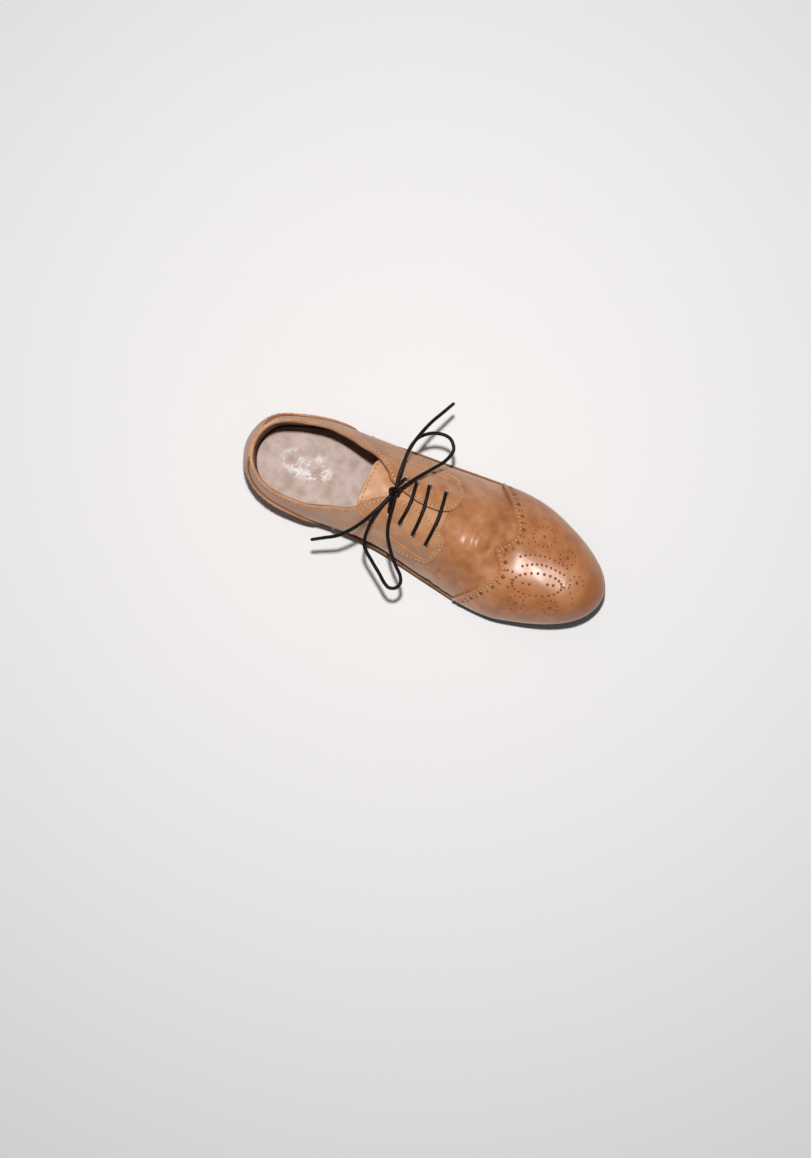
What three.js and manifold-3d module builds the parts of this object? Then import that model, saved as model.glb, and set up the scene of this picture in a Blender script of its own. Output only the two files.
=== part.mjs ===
/*
 * Left derby shoe with a brogue toe cap, open lacing and a low stacked heel.
 *
 * Units are millimetres. +X runs from the heel to the toe, +Y to the outside
 * (lateral side) of the left foot and +Z up. The ground is z = 0.
 *
 * The upper is one rounded skin, described by ribs that rise from the feather
 * line (where the upper meets the welt) to a ridge over the foot. Every leather
 * and lining is a layer of that skin between two depths, cut along its seams.
 */
import * as THREE from "three";
import { mergeVertices } from "three/addons/utils/BufferGeometryUtils.js";
import Module from "manifold-3d";

const wasm = await Module();
wasm.setup();

// Overall sizes
const shoeLength = 278;
const ballWidth = 94.6; // widest part of the sole
const facingTop = 94.8; // height of the lacing's top corners
const heelPitch = 12.1; // how much higher the heel seat sits than the ball
const toeSpring = 27.7;

// Sole and heel
const weltThickness = 2.8;
const midsoleThickness = 3.4;
const rubberThickness = 3.2;
const heelLength = 73;
const topPieceThickness = 6.3;
const rubberTipLength = 31;
const weltMargin = 2.2; // how far the welt stands out past the feather line
const insoleThickness = 2.4;
const sockThickness = 1;

// Upper
const leather = 1.3;
const liningLeather = 1;
const clearance = 0.3; // between neighbouring pieces
const tongueWidth = 41;
const counterDepth = -leather - clearance;

// Laces and eyelets
const laceRadius = 1.25;
const facingLift = 2 * laceRadius; // room for the lace under each facing
const eyeletRadius = laceRadius + 0.45;
const eyeletWall = 0.7;
const agletLength = 11;
const tongueDrop = 14; // degrees the tongue folds into the shoe

// Scales that tie the outlines below to the overall sizes
const soleStack = weltThickness + midsoleThickness + rubberThickness + 2 * clearance;
const alongScale = shoeLength / 278;
const acrossScale = ballWidth / 94.6;
const upScale = (facingTop - soleStack) / 84.8;
const along = (x) => x * alongScale;
const across = (y) => y * acrossScale;
const upward = (z) => soleStack + (z - 10) * upScale;

// ---------------------------------------------------------------- curves

/** Smooth function through [x, value] points that never overshoots them. */
function curve(points) {
  const n = points.length;
  const slope = points.slice(1).map(([x, y], i) => (y - points[i][1]) / (x - points[i][0]));
  const tangent = points.map((_, i) => {
    if (i === 0) return slope[0];
    if (i === n - 1) return slope[n - 2];
    const [a, b] = [slope[i - 1], slope[i]];
    return a * b <= 0 ? 0 : (2 * a * b) / (a + b);
  });
  return (x) => {
    let i = 0;
    while (i < n - 2 && x > points[i + 1][0]) i += 1;
    const [x0, y0] = points[i];
    const [x1, y1] = points[i + 1];
    const w = x1 - x0;
    const t = THREE.MathUtils.clamp((x - x0) / w, 0, 1);
    const [t2, t3] = [t * t, t * t * t];
    return (
      (2 * t3 - 3 * t2 + 1) * y0 + (t3 - 2 * t2 + t) * w * tangent[i] +
      (3 * t2 - 2 * t3) * y1 + (t3 - t2) * w * tangent[i + 1]
    );
  };
}

/** Points of a smooth open line through 2-D points. */
function smoothLine(points, pieces = 3) {
  const line = new THREE.SplineCurve(points.map(([x, y]) => new THREE.Vector2(x, y)));
  return line.getPoints((points.length - 1) * pieces).map((p) => [p.x, p.y]);
}

const ramp = THREE.MathUtils.smoothstep;

// The feather line: where the upper meets the welt
const backX = along(4);
const toeX = along(276);
const featherHalf = [
  [13.9, 22.7, 22.2], [27.8, 29.4, 30.2], [41.7, 34.1, 32.7], [55.6, 37, 32.8],
  [83.4, 38.2, 30.4], [111.2, 40.8, 31], [139, 42.9, 35.3], [166.8, 45.2, 39.9],
  [194.6, 46.7, 43.5], [208.5, 45.6, 43.3], [222.4, 42.4, 40.1], [236.3, 37, 36],
  [250.2, 30.4, 30.5], [264.1, 20.6, 22],
];
const turnOf = (x) =>
  Math.acos(THREE.MathUtils.clamp(1 - (2 * (x - backX)) / (toeX - backX), -1, 1));
const xOf = (turn) => backX + ((toeX - backX) * (1 - Math.cos(turn))) / 2;
const halfCurve = (column) =>
  curve([
    [0, 0],
    ...featherHalf.map((row) => [turnOf(along(row[0])), across(row[column])]),
    [Math.PI, 0],
  ]);
const halfWidth = { 1: halfCurve(1), "-1": halfCurve(2) };

/** Height of the welt's top over the ground. */
const pitch = curve([
  [0, heelPitch], [18, heelPitch - 1.9], [43, heelPitch - 3.5], [67, heelPitch - 3.9],
  [83, 0.6 * heelPitch], [97, 0.5 * heelPitch], [113, 0.39 * heelPitch],
  [130, 0.2 * heelPitch], [146, 0.05 * heelPitch], [163, 0], [174, 0.01 * toeSpring],
  [195, 0.1 * toeSpring], [216, 0.26 * toeSpring], [241, 0.53 * toeSpring],
  [258, 0.75 * toeSpring], [270, 0.93 * toeSpring], [278, 1.01 * toeSpring],
].map(([x, z]) => [along(x), z]));
const featherZ = (x) => soleStack + pitch(x);

// The ridge over the foot, and how full the ribs are
const ridgeFrom = along(30);
const ridgeTo = along(247);
const ridgeZ = curve([
  [30, 126], [60, 114], [90, 103], [112, 91.2], [130, 83], [150, 74.4], [162, 69.4],
  [174, 67.8], [183, 66.6], [192, 62.8], [200, 60], [208, 59], [222, 60.3], [235, 61.3],
  [247, 61.5],
].map(([x, z]) => [along(x), upward(z)]));
const ridgeY = curve([
  [30, 1], [60, 4], [90, 6], [115, 5.6], [132, 3.5], [145, 2.5], [165, 0], [190, -3.5],
  [215, -5], [247, -5],
].map(([x, y]) => [along(x), across(y)]));
const fullness = curve([
  [0, 1.85], [40, 2], [92, 2.2], [120, 2], [150, 1.9], [185, 1.95], [215, 2.2],
  [250, 2.4], [276, 2.4],
].map(([x, n]) => [along(x), n]));
const bulge = curve([
  [0, 2.9], [40, 2], [90, 1.5], [140, 2], [195, 2.5], [240, 2], [276, 1.5],
].map(([x, b]) => [along(x), b]));

/** The ridge's x for a rib that starts at x: it stops before the heel and toe. */
function ridgeX(x) {
  const soft = 8;
  const ease = (over) => (over <= -soft ? 0 : over >= soft ? over : (over + soft) ** 2 / (4 * soft));
  return x + ease(ridgeFrom - x) - ease(x - ridgeTo);
}

/** Foot of a rib on the plan with the outline's outward direction there. */
function foot(turn, side) {
  const at = (t) => [xOf(t), side * halfWidth[side](t)];
  const [x, y] = at(turn);
  const [x0, y0] = at(Math.max(turn - 0.01, 0));
  const [x1, y1] = at(Math.min(turn + 0.01, Math.PI));
  if (turn <= 0 || turn >= Math.PI) return { x, y: 0, nx: turn <= 0 ? -1 : 1, ny: 0 };
  const long = Math.hypot(x1 - x0, y1 - y0);
  return { x, y, nx: (-side * (y1 - y0)) / long, ny: (side * (x1 - x0)) / long };
}

/**
 * Point of the upper. rise runs from 0 at the feather line to PI / 2 on the
 * ridge, depth is measured inwards, and lift(x, share) raises the layer where
 * share is the rise as a share of the whole.
 */
function skin(turn, side, rise, depth, lift) {
  const f = foot(turn, side);
  const [sx, n, fz] = [ridgeX(f.x), 2 / fullness(f.x), featherZ(f.x)];
  const sy = ridgeY(sx);
  const [h, k] = [Math.max(Math.cos(rise), 0) ** n, Math.sin(rise) ** n];
  const d = depth - (lift ? lift(f.x, (2 * rise) / Math.PI) : 0);
  const swell = (bulge(f.x) * k * (1 - k) ** 3) / 0.1055;
  const [dx, dy] = [f.x - f.nx * d - sx, f.y - f.ny * d - sy];
  return [
    sx + h * dx + f.nx * swell,
    sy + h * dy + f.ny * swell,
    fz + k * (ridgeZ(sx) - d - fz),
  ];
}

/** Point on a layer over the plan position x, y, with its outward direction. */
function over(x, y, depth, lift) {
  const turn = turnOf(x);
  const side = y >= ridgeY(x) ? 1 : -1;
  let [low, high] = [0.2, Math.PI / 2];
  for (let i = 0; i < 30; i += 1) {
    const middle = (low + high) / 2;
    if (side * (skin(turn, side, middle, depth, lift)[1] - y) > 0) low = middle;
    else high = middle;
  }
  const point = (a, b) => new THREE.Vector3(...skin(turn + a, side, low + b, depth, lift));
  const here = point(0, 0);
  const up = point(0.03, -0.02).sub(point(-0.03, -0.02));
  const out = up.cross(point(0, -0.06).sub(here)).multiplyScalar(side);
  return { here, out: out.normalize() };
}

// ---------------------------------------------------------------- solids

/** Solid from triangles given as points; points that coincide are shared. */
function solidOf(triangles) {
  const [index, flat, faces] = [new Map(), [], []];
  const number = (p) => {
    const key = p.map((c) => Math.round(c * 1e4)).join();
    if (!index.has(key)) {
      index.set(key, index.size);
      flat.push(...p);
    }
    return index.get(key);
  };
  for (const triangle of triangles) {
    const [a, b, c] = triangle.map(number);
    if (a !== b && b !== c && c !== a) faces.push(a, b, c);
  }
  return new wasm.Manifold(
    new wasm.Mesh({
      numProp: 3,
      vertProperties: new Float32Array(flat),
      triVerts: new Uint32Array(faces),
    }),
  );
}

/** Solid from a closed three.js geometry. */
function solid(geometry) {
  const plain = geometry.clone();
  plain.deleteAttribute("normal");
  plain.deleteAttribute("uv");
  const merged = mergeVertices(plain, 1e-4);
  return new wasm.Manifold(
    new wasm.Mesh({
      numProp: 3,
      vertProperties: new Float32Array(merged.attributes.position.array),
      triVerts: new Uint32Array(merged.index.array),
    }),
  );
}

/** Prism of a closed outline drawn in x, z and run along Y, or in x, y and along Z. */
function prism(outline, plane, from, to) {
  const shape = new THREE.Shape(outline.map(([a, b]) => new THREE.Vector2(a, b)));
  const geometry = new THREE.ExtrudeGeometry(shape, { depth: to - from, bevelEnabled: false });
  if (plane === "side") geometry.rotateX(Math.PI / 2).translate(0, to, 0);
  else geometry.translate(0, 0, from);
  return solid(geometry);
}

const ribs = 32;
// Levels of each rib; the facings' lift starts and ends on two of them
const tongueFill = tongueWidth / (41 * acrossScale);
const [liftFrom, liftTo] = [0.5, 0.38].map((share) => 1 - share * (1.25 * tongueFill - 0.25));
const levels = [
  ...[0, 0.12, 0.24, 0.37].map((share) => (share * liftFrom) / 0.5), liftFrom, liftTo,
  ...[0.74, 0.87].map((share) => 1 - ((1 - share) * (1 - liftTo)) / 0.38), 1,
];

/** Closed layer of the upper between two depths, from the feather to the ridge. */
function layer(outer, inner, lift) {
  const columns = [];
  for (let i = 0; i < 2 * ribs; i += 1) {
    const [turn, side] = i <= ribs ? [(Math.PI * i) / ribs, 1] : [(Math.PI * (2 * ribs - i)) / ribs, -1];
    const column = (depth) =>
      levels.map((share) => {
        const point = skin(turn, side, (Math.PI / 2) * share, depth, lift);
        if (share === 0) point[2] += clearance;
        return point;
      });
    columns.push([column(outer), column(inner)]);
  }
  const triangles = [];
  const quad = (a, b, c, d) => triangles.push([a, b, c], [a, c, d]);
  columns.forEach(([out, inn], i) => {
    const [out2, inn2] = columns[(i + 1) % columns.length];
    quad(out2[0], out[0], inn[0], inn2[0]);
    for (let j = 0; j + 1 < levels.length; j += 1) {
      quad(out[j], out2[j], out2[j + 1], out[j + 1]);
      quad(inn2[j], inn[j], inn[j + 1], inn2[j + 1]);
    }
  });
  return solidOf(triangles.map(([a, b, c]) => [a, c, b]));
}

/** Outline at a margin outside the feather line (inside it if negative). */
function outlineAt(margin) {
  const out = (x) => (typeof margin === "function" ? margin(x) : margin);
  const from = backX - out(backX);
  const to = toeX + out(toeX);
  const turnAt = (x) => Math.acos(THREE.MathUtils.clamp(1 - (2 * (x - from)) / (to - from), -1, 1));
  const half = (side) => {
    const points = [[0, 0]];
    for (let i = 1; i < 60; i += 1) {
      const f = foot((Math.PI * i) / 60, side);
      const [x, y] = [f.x + f.nx * out(f.x), side * (f.y + f.ny * out(f.x))];
      const turn = turnAt(x);
      if (y > 3 && turn > points.at(-1)[0] + 0.02 && turn < Math.PI - 0.02) points.push([turn, y]);
    }
    return curve([...points, [Math.PI, 0]]);
  };
  return { from, to, half: { 1: half(1), "-1": half(-1) } };
}

/** Flat-lying layer that follows the foot's pitch, between two heights. */
function plate(margin, bottom, top, from = -20, to = shoeLength + 20) {
  const edge = outlineAt(margin);
  const rings = [];
  for (let i = 0; i <= ribs; i += 1) {
    const turn = (Math.PI * i) / ribs;
    const x = edge.from + ((edge.to - edge.from) * (1 - Math.cos(turn))) / 2;
    rings.push([[x, edge.half[1](turn)], [x, -edge.half["-1"](turn)]]);
  }
  const triangles = [];
  const quad = (a, b, c, d) => triangles.push([a, b, c], [a, c, d]);
  const up = ([x, y]) => [x, y, top(x)];
  const down = ([x, y]) => [x, y, bottom(x)];
  for (let i = 0; i < ribs; i += 1) {
    const [[l0, m0], [l1, m1]] = [rings[i], rings[i + 1]];
    quad(up(m0), up(m1), up(l1), up(l0));
    quad(down(l0), down(l1), down(m1), down(m0));
    quad(down(m0), down(m1), up(m1), up(m0));
    quad(up(l0), up(l1), down(l1), down(l0));
  }
  const [w, h] = [200, 300];
  const whole = solidOf(triangles);
  if (from < -10 && to > shoeLength + 10) return whole;
  const keep = [[from, -w], [to, -w], [to, w], [from, w]];
  return whole.intersect(prism(keep, "plan", -h, h));
}

/** Round rod along a line of points, with sides set out evenly round it. */
function rod(points, radius, sides = 7) {
  const rings = [];
  let normal = new THREE.Vector3(0.3, 0.2, 1);
  points.forEach((p, i) => {
    const before = points[Math.max(i - 1, 0)];
    const after = points[Math.min(i + 1, points.length - 1)];
    const ahead = after.clone().sub(before).normalize();
    normal = normal.clone().addScaledVector(ahead, -normal.dot(ahead)).normalize();
    const other = ahead.clone().cross(normal);
    rings.push(
      Array.from({ length: sides }, (_, j) => {
        const a = (2 * Math.PI * j) / sides;
        const q = p.clone().addScaledVector(normal, radius * Math.cos(a));
        return q.addScaledVector(other, radius * Math.sin(a)).toArray();
      }),
    );
  });
  const triangles = [];
  for (let i = 0; i + 1 < rings.length; i += 1)
    for (let j = 0; j < sides; j += 1) {
      const k = (j + 1) % sides;
      triangles.push([rings[i][j], rings[i][k], rings[i + 1][k]]);
      triangles.push([rings[i][j], rings[i + 1][k], rings[i + 1][j]]);
    }
  for (let j = 1; j + 1 < sides; j += 1) {
    triangles.push([rings[0][0], rings[0][j + 1], rings[0][j]]);
    triangles.push([rings.at(-1)[0], rings.at(-1)[j], rings.at(-1)[j + 1]]);
  }
  return solidOf(triangles);
}

/** Line through corner points, with each corner rounded off. */
function rounded(corners, radius) {
  const line = [corners[0]];
  for (let i = 1; i + 1 < corners.length; i += 1) {
    const [a, b, c] = [corners[i - 1], corners[i], corners[i + 1]];
    const [p, q] = [a.clone().sub(b), c.clone().sub(b)];
    const bend = Math.PI - p.angleTo(q);
    const cut = Math.min(radius, 0.47 * p.length(), 0.47 * q.length());
    const from = b.clone().addScaledVector(p.normalize(), cut);
    const to = b.clone().addScaledVector(q.normalize(), cut);
    const arc = new THREE.QuadraticBezierCurve3(from, b, to);
    if (bend < 0.5) line.push(b.clone());
    else line.push(...arc.getPoints(bend > 1.2 ? 5 : 2));
  }
  line.push(corners.at(-1));
  return line;
}

// ---------------------------------------------------------------- seams

const sidePoint = ([x, z]) => [along(x), upward(z)];
const planPoint = ([x, y]) => [along(x), across(y)];

// Top line of the quarters, from the heel to the facings
const topLine = smoothLine([
  [-12, 88], [4, 84.6], [9, 84], [25, 80.4], [47, 76.8], [61, 77.9], [77, 85],
  [95, 93], [103, 95.2], [116, 98], [135, 104],
].map(sidePoint), 2);

// Front and lower edge of each quarter, from the welt up to the facing's end
/** Lowers an edge as a wider tongue needs its room to start lower. */
const lowered = ([x, z]) => [x, z - 50 * (tongueFill - 1) * ramp(x, 84, 100) * (1 - ramp(x, 150, 156))];

const quarterEdge = smoothLine([
  [79.9, 12], [80, 24.6], [83.2, 32.3], [90, 39.2], [99.5, 44.2], [111.4, 46.7],
  [135.6, 48.1], [152.6, 48.8], [155.4, 55.5], [157.5, 64.5],
].map(lowered).map(sidePoint), 2);

// The vamp's edge, hidden under the quarters
const vampEdge = smoothLine([
  [73.8, 12], [74, 27], [77.5, 35.5], [85, 43.5], [96, 49], [110, 51], [134, 51.5],
  [146, 51.5], [151.2, 53], [152.2, 58], [152, 64],
].map(lowered).map(sidePoint), 2);

// Throat between the facings
const throat = smoothLine([
  [60, 31], [80, 27], [92.1, 25.2], [102.7, 18.4], [109.1, 12.7], [128.5, 7.9],
  [143.8, 8], [151.3, 10.5], [155.9, 15.3], [158.3, 25], [164, 33],
].map(planPoint), 2).concat(smoothLine([
  [164, -27], [159.2, -17.8], [157.2, -9], [151.9, -3.7], [143.1, 1], [132.3, 3.9],
  [118.5, 4.5], [106.8, 0.7], [96.8, -7.1], [90.6, -14.7], [80, -17], [60, -21],
].map(planPoint), 2));

// Counter over the heel
const counterEdge = smoothLine([
  [11, 96], [11, 79.3], [10.3, 68.7], [10.8, 60], [16.2, 54.2], [24.5, 51.2],
  [34.4, 48.7], [45.1, 45.4], [55.1, 40.2], [62.8, 34.1], [67.2, 26.9], [69.3, 12],
].map(sidePoint), 2);

// Toe cap seam, with its peak pointing to the heel
const capSeam = smoothLine([
  [170, 62], [178.3, 49.8], [183.4, 44.4], [191.2, 36.1], [198.2, 26.9], [201.9, 18.2],
  [200.8, 11.2], [196, 5.3], [193.9, 1.6], [195.6, -3.2], [200, -8.7], [201.3, -13.7],
  [198.9, -21.3], [193.5, -29.4], [187.8, -36.7], [181.5, -43], [172, -53],
].map(planPoint), 2);

const far = 400;
const wide = 120;

/** Everything in front of a seam line drawn on the plan, moved along X. */
function beyond(seam, shift) {
  const line = seam.map(([x, y]) => [x + shift, y]);
  const [first, last] = [line[0], line.at(-1)];
  const closed = [...line, [last[0], -wide], [far, -wide], [far, wide], [first[0], wide]];
  return prism(closed.reverse(), "plan", -20, 200);
}

/** Region behind an x, with a lower limit if needed. */
const behind = (x) => prism([[-20, -20], [x, -20], [x, 250], [-20, 250]], "side", -wide, wide);

const underTopLine = prism(
  [...topLine, [topLine.at(-1)[0], 200], [far, 200], [far, -20], [-30, -20], [-30, topLine[0][1]]],
  "side", -wide, wide,
);
const backAndAbove = (edge) =>
  prism([[-30, -20], ...edge, [edge.at(-1)[0], 200], [-30, 200]], "side", -wide, wide);
const throatRegion = prism(throat, "plan", -20, 220);
const counterRegion = prism([[-30, -20], [-30, 96 * upScale + 20], ...counterEdge, [along(69.3), -20]]
  .reverse(), "side", -wide, wide);
/** One side of the upper, split down the heel's back and the middle of the throat. */
function half(side) {
  const split = [[-30, 0], [60, 0], [95, 5], [130, 6], [150, 3], [far, 3]]
    .map(([x, y]) => [along(x), across(y) + (side * clearance) / 2]);
  return prism([...split, [along(far), side * wide], [along(-30), side * wide]], "plan", -20, 220);
}

// ---------------------------------------------------------------- layers

const liftShape = (x, share) => ramp(share, liftFrom, liftTo) * ramp(x, along(70), along(92));
const frontEase = (x) => 1 - 0.55 * ramp(x, along(148), along(160));
const quarterLift = (x, share) => facingLift * liftShape(x, share) * frontEase(x);
const liningLift = (x, share) => quarterLift(x, share) + (leather + clearance) * liftShape(x, share);

const vampDepth = leather + clearance;
const liningDepth = vampDepth + leather + clearance;
const tongueDepth = liningDepth + 0.45;
const tongueInside = tongueDepth + leather + 2 * clearance;
const inside = liningDepth + liningLeather;

const quarterSkin = layer(0, leather, quarterLift);
const vampSkin = layer(vampDepth, vampDepth + leather);
const capSkin = layer(0, leather);
const liningSkin = layer(liningDepth, inside, liningLift);
const counterSkin = layer(counterDepth, -clearance);
const vampLiningSkin = layer(liningDepth, inside);

const overlap = 6; // of each leather under the next one
const puffFrom = overlap + 3;
const liningSeam = along(150.5);
const tongueFront = along(162);
const tongueTop = along(90.7);

const quarter = (side) =>
  quarterSkin.intersect(underTopLine).intersect(backAndAbove(quarterEdge)).subtract(throatRegion)
    .intersect(half(side));
const quarterLining = (side) =>
  liningSkin.intersect(underTopLine).intersect(behind(liningSeam)).subtract(throatRegion)
    .intersect(half(side));

/** Half width of the tongue: full at the top, narrower where it is sewn in. */
const tongueHalf = (x) => (tongueWidth / 2) * (1 - 0.25 * ramp(x, along(125), tongueFront));

/** How far the tongue's free end sags below the line of the foot. */
const tongueSag = (x) =>
  (12.8 * upScale) * THREE.MathUtils.clamp((along(114) - x) / along(23.3), 0, 1.05) ** 1.3;

/** Closed strip of the tongue between two depths. */
function tongueStrip(outer, inner) {
  const [long, broad] = [14, 8];
  const at = (i, j, depth) => {
    const v = (2 * j) / broad - 1;
    const from = tongueTop + 3.5 * v ** 6;
    const x = from + ((tongueFront - from) * i) / long;
    const { x: px, y, z } = over(x, ridgeY(x) + tongueHalf(x) * v, depth).here;
    return [px, y, z - tongueSag(x) * (1 - v * v)];
  };
  const triangles = [];
  const quad = (a, b, c, d) => triangles.push([a, b, c], [a, c, d]);
  for (let i = 0; i < long; i += 1)
    for (let j = 0; j < broad; j += 1) {
      const corners = (d) => [at(i, j, d), at(i + 1, j, d), at(i + 1, j + 1, d), at(i, j + 1, d)];
      quad(...corners(outer));
      quad(...corners(inner).reverse());
    }
  const wall = (i0, j0, i1, j1) =>
    quad(at(i0, j0, inner), at(i1, j1, inner), at(i1, j1, outer), at(i0, j0, outer));
  for (let i = 0; i < long; i += 1) {
    wall(i, 0, i + 1, 0);
    wall(i + 1, broad, i, broad);
  }
  for (let j = 0; j < broad; j += 1) {
    wall(0, j + 1, 0, j);
    wall(long, j, long, j + 1);
  }
  return solidOf(triangles);
}

// Room left in the vamp lining for the tongue's sewn end
const tongueSlot = prism(
  [[along(100), -1], [tongueFront + 2.8, -1], [tongueFront + 2.8, 1], [along(100), 1]]
    .map(([x, v]) => [x, ridgeY(x) + v * (tongueHalf(tongueFront - 12) + 2.2)]),
  "plan", -20, 220,
);

// ---------------------------------------------------------------- sole and heel

const weltOut = (x) => 0.6 + (weltMargin - 0.6) * ramp(x, along(50), along(112));
const below = (drop) => (x) => featherZ(x) - drop;
const weltBottom = weltThickness;
const midsoleTop = weltBottom + clearance;
const midsoleBottom = midsoleTop + midsoleThickness;
const fillerMargin = -7.3;
const insoleMargin = -inside - 0.4;
const rubberFrom = along(148);
const shankEnds = [along(52), along(147)];
const shankHalf = 6.5;
const breast = along(heelLength);
const tipSplit = along(3) + rubberTipLength * alongScale;

const welt = plate(weltOut, below(weltBottom), below(0))
  .subtract(plate(-7, below(30), below(-30)));
const midsole = plate(weltOut, below(midsoleBottom), below(midsoleTop));
const rubberTop = midsoleBottom + clearance;
const rubberSole = plate(weltOut, below(rubberTop + rubberThickness), below(rubberTop), rubberFrom);
const corkFiller = plate(fillerMargin, below(weltBottom), below(0), along(152));
const shank = plate(fillerMargin, below(weltBottom), below(weltBottom - 1.6), ...shankEnds)
  .intersect(prism([[0, -1], [far, -1], [far, 1], [0, 1]]
    .map(([x, v]) => [x, across(2) + v * shankHalf]), "plan", -20, 80));
const insoleTop = clearance + insoleThickness;
const insoleBoard = plate(insoleMargin, below(-clearance), below(-insoleTop));
const sock = plate(insoleMargin, below(-insoleTop - clearance),
  below(-insoleTop - clearance - sockThickness));

/** Region of the heel in front of or behind a line bowed towards the heel's back. */
function bowed(x, depth, front) {
  const line = Array.from({ length: 13 }, (_, i) => {
    const v = i / 6 - 1;
    return [x - depth * (1 - v * v), 45 * v];
  });
  const end = front ? far : -40;
  return prism([...line, [end, 45], [end, -45]], "plan", -20, 60);
}
const heelRegion = bowed(breast, 3, false);
const heelLift = plate(0, () => topPieceThickness + clearance, below(rubberTop))
  .intersect(heelRegion);
const topPiece = plate(-0.6, () => 0, () => topPieceThickness).intersect(heelRegion);

// ---------------------------------------------------------------- eyelets and lace

const eyeletPlaces = {
  1: [[144.8, 21.8], [132.3, 21], [123.5, 19.1], [115.7, 18.4]],
  "-1": [[146.3, -16.8], [135.4, -14], [124, -10.9], [114.5, -7]],
};
const facingThickness = leather + clearance + liningLeather;
const laceStandOff = clearance + laceRadius;
const passRoom = 2 * laceRadius + clearance;

/** Point on the facing's outer face with its outward direction. */
const onFacing = (x, y) => over(x, y, 0, quarterLift);
const eyeletAt = (side, pair) => onFacing(...planPoint(eyeletPlaces[side][pair - 1]));

/** Solid of revolution about an eyelet's axis, from [radius, height] points. */
function turned(profile, { here, out }, sides = 12) {
  const points = profile.map(([r, z]) => new THREE.Vector2(r, z));
  const geometry = new THREE.LatheGeometry([...points, points[0]], sides);
  geometry.applyQuaternion(
    new THREE.Quaternion().setFromUnitVectors(new THREE.Vector3(0, 1, 0), out),
  );
  return solid(geometry.translate(...here.toArray()));
}
const eyeletRing = (place) => {
  const [r, wall, end] = [eyeletRadius, eyeletRadius + eyeletWall, -facingThickness];
  return turned([[r, end], [wall, end], [wall, 0], [r, 0]], place);
};
const eyeletHole = ({ here, out }) => {
  const reach = facingThickness + 1.2;
  const geometry = new THREE.CylinderGeometry(
    eyeletRadius + eyeletWall + clearance, eyeletRadius + eyeletWall + clearance, 2 * reach, 12,
  );
  geometry.applyQuaternion(
    new THREE.Quaternion().setFromUnitVectors(new THREE.Vector3(0, 1, 0), out),
  );
  return solid(geometry.translate(...here.toArray()));
};

const above = ({ here, out }) => here.clone().addScaledVector(out, laceStandOff);
const beneath = ({ here, out }) =>
  here.clone().addScaledVector(out, -facingThickness - laceStandOff);

/** Bar of lace over the facings from one place to another, ends left out. */
function bar([x0, y0], [x1, y1], steps = 7) {
  return Array.from({ length: steps - 1 }, (_, i) => {
    const t = (i + 1) / steps;
    return above(onFacing(x0 + (x1 - x0) * t, y0 + (y1 - y0) * t));
  });
}

/** Lace run under a facing between eyelets; aside moves it past those between. */
function underRun(side, from, to, aside) {
  const [low, high] = [Math.min(from, to), Math.max(from, to)];
  const line = [];
  for (let pair = low + 1; pair < high; pair += 1) {
    const [x, y] = planPoint(eyeletPlaces[side][pair - 1]);
    line.push(beneath(onFacing(x, y + aside)));
  }
  return from < to ? line : line.reverse();
}

const knotSize = new THREE.Vector3(4.4, 3.8, 3.5);
const [knotX, knotY] = planPoint([112.4, 6.6]);
const knotCentre = onFacing(knotX, knotY).here.clone();
knotCentre.z += knotSize.z + 0.6;
const knot = new THREE.SphereGeometry(1, 16, 10);
knot.rotateX(Math.PI / 2).scale(...knotSize.toArray()).translate(...knotCentre.toArray());

/** The lace as it is threaded, from one side of the knot round to the other. */
function threadedLace() {
  const place = (side, pair) => planPoint(eyeletPlaces[side][pair - 1]);
  const down = (side, pair) => [above(eyeletAt(side, pair)), beneath(eyeletAt(side, pair))];
  const rise = (side, pair) => down(side, pair).reverse();
  const knotSide = (side) => {
    const end = knotCentre.clone();
    end.y += side * (knotSize.y + 0.35 + laceRadius * 0.2);
    end.z -= laceRadius + 0.75;
    return end;
  };
  const toKnot = (side) => {
    const [x, y] = place(side, 4);
    const end = knotSide(side);
    return above(onFacing((x + end.x) / 2, (y + end.y) / 2));
  };
  return [
    knotSide(1), toKnot(1), ...down(1, 4), ...rise(1, 3),
    ...bar(place(1, 3), place(-1, 3)), ...down(-1, 3), ...underRun(-1, 3, 1, -passRoom),
    ...rise(-1, 1), ...bar(place(-1, 1), place(1, 1)), ...down(1, 1), ...rise(1, 2),
    ...bar(place(1, 2), place(-1, 2)), ...down(-1, 2), ...underRun(-1, 2, 4, passRoom),
    ...rise(-1, 4), toKnot(-1), knotSide(-1),
  ];
}
const laceRun = rod(rounded(threadedLace(), 2.3), laceRadius);

/** Free lace through x, y and height over the ground. */
function freeLace(points) {
  const line = new THREE.CatmullRomCurve3(
    points.map(([x, y, z]) => new THREE.Vector3(along(x), across(y), upward(z))), false, "centripetal",
  );
  return line.getPoints((points.length - 1) * 3);
}
const loops = {
  lateral: freeLace([
    [112.2, 11, 98.5], [111.2, 21.6, 97.5], [109.7, 37.7, 92], [112.4, 48.3, 87], [121.5, 56, 82.5],
    [131.9, 57, 80], [137.5, 51, 80.3], [135.8, 41.9, 83], [128, 30, 88.5], [121.3, 20.4, 93.5],
    [115.8, 11, 98.3],
  ]),
  medial: freeLace([
    [111, 2.2, 98.5], [107.5, -9.5, 97], [106, -23.5, 92], [108.2, -34.7, 87.5], [117, -41.8, 84],
    [127.5, -46.8, 81], [134.2, -52, 78.8], [138.3, -52.6, 78.3], [138, -48.6, 79.4],
    [132.6, -42.8, 82], [124.5, -31.5, 86], [118, -18.6, 91.5], [114.7, 2.2, 98.3],
  ]),
};
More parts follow.
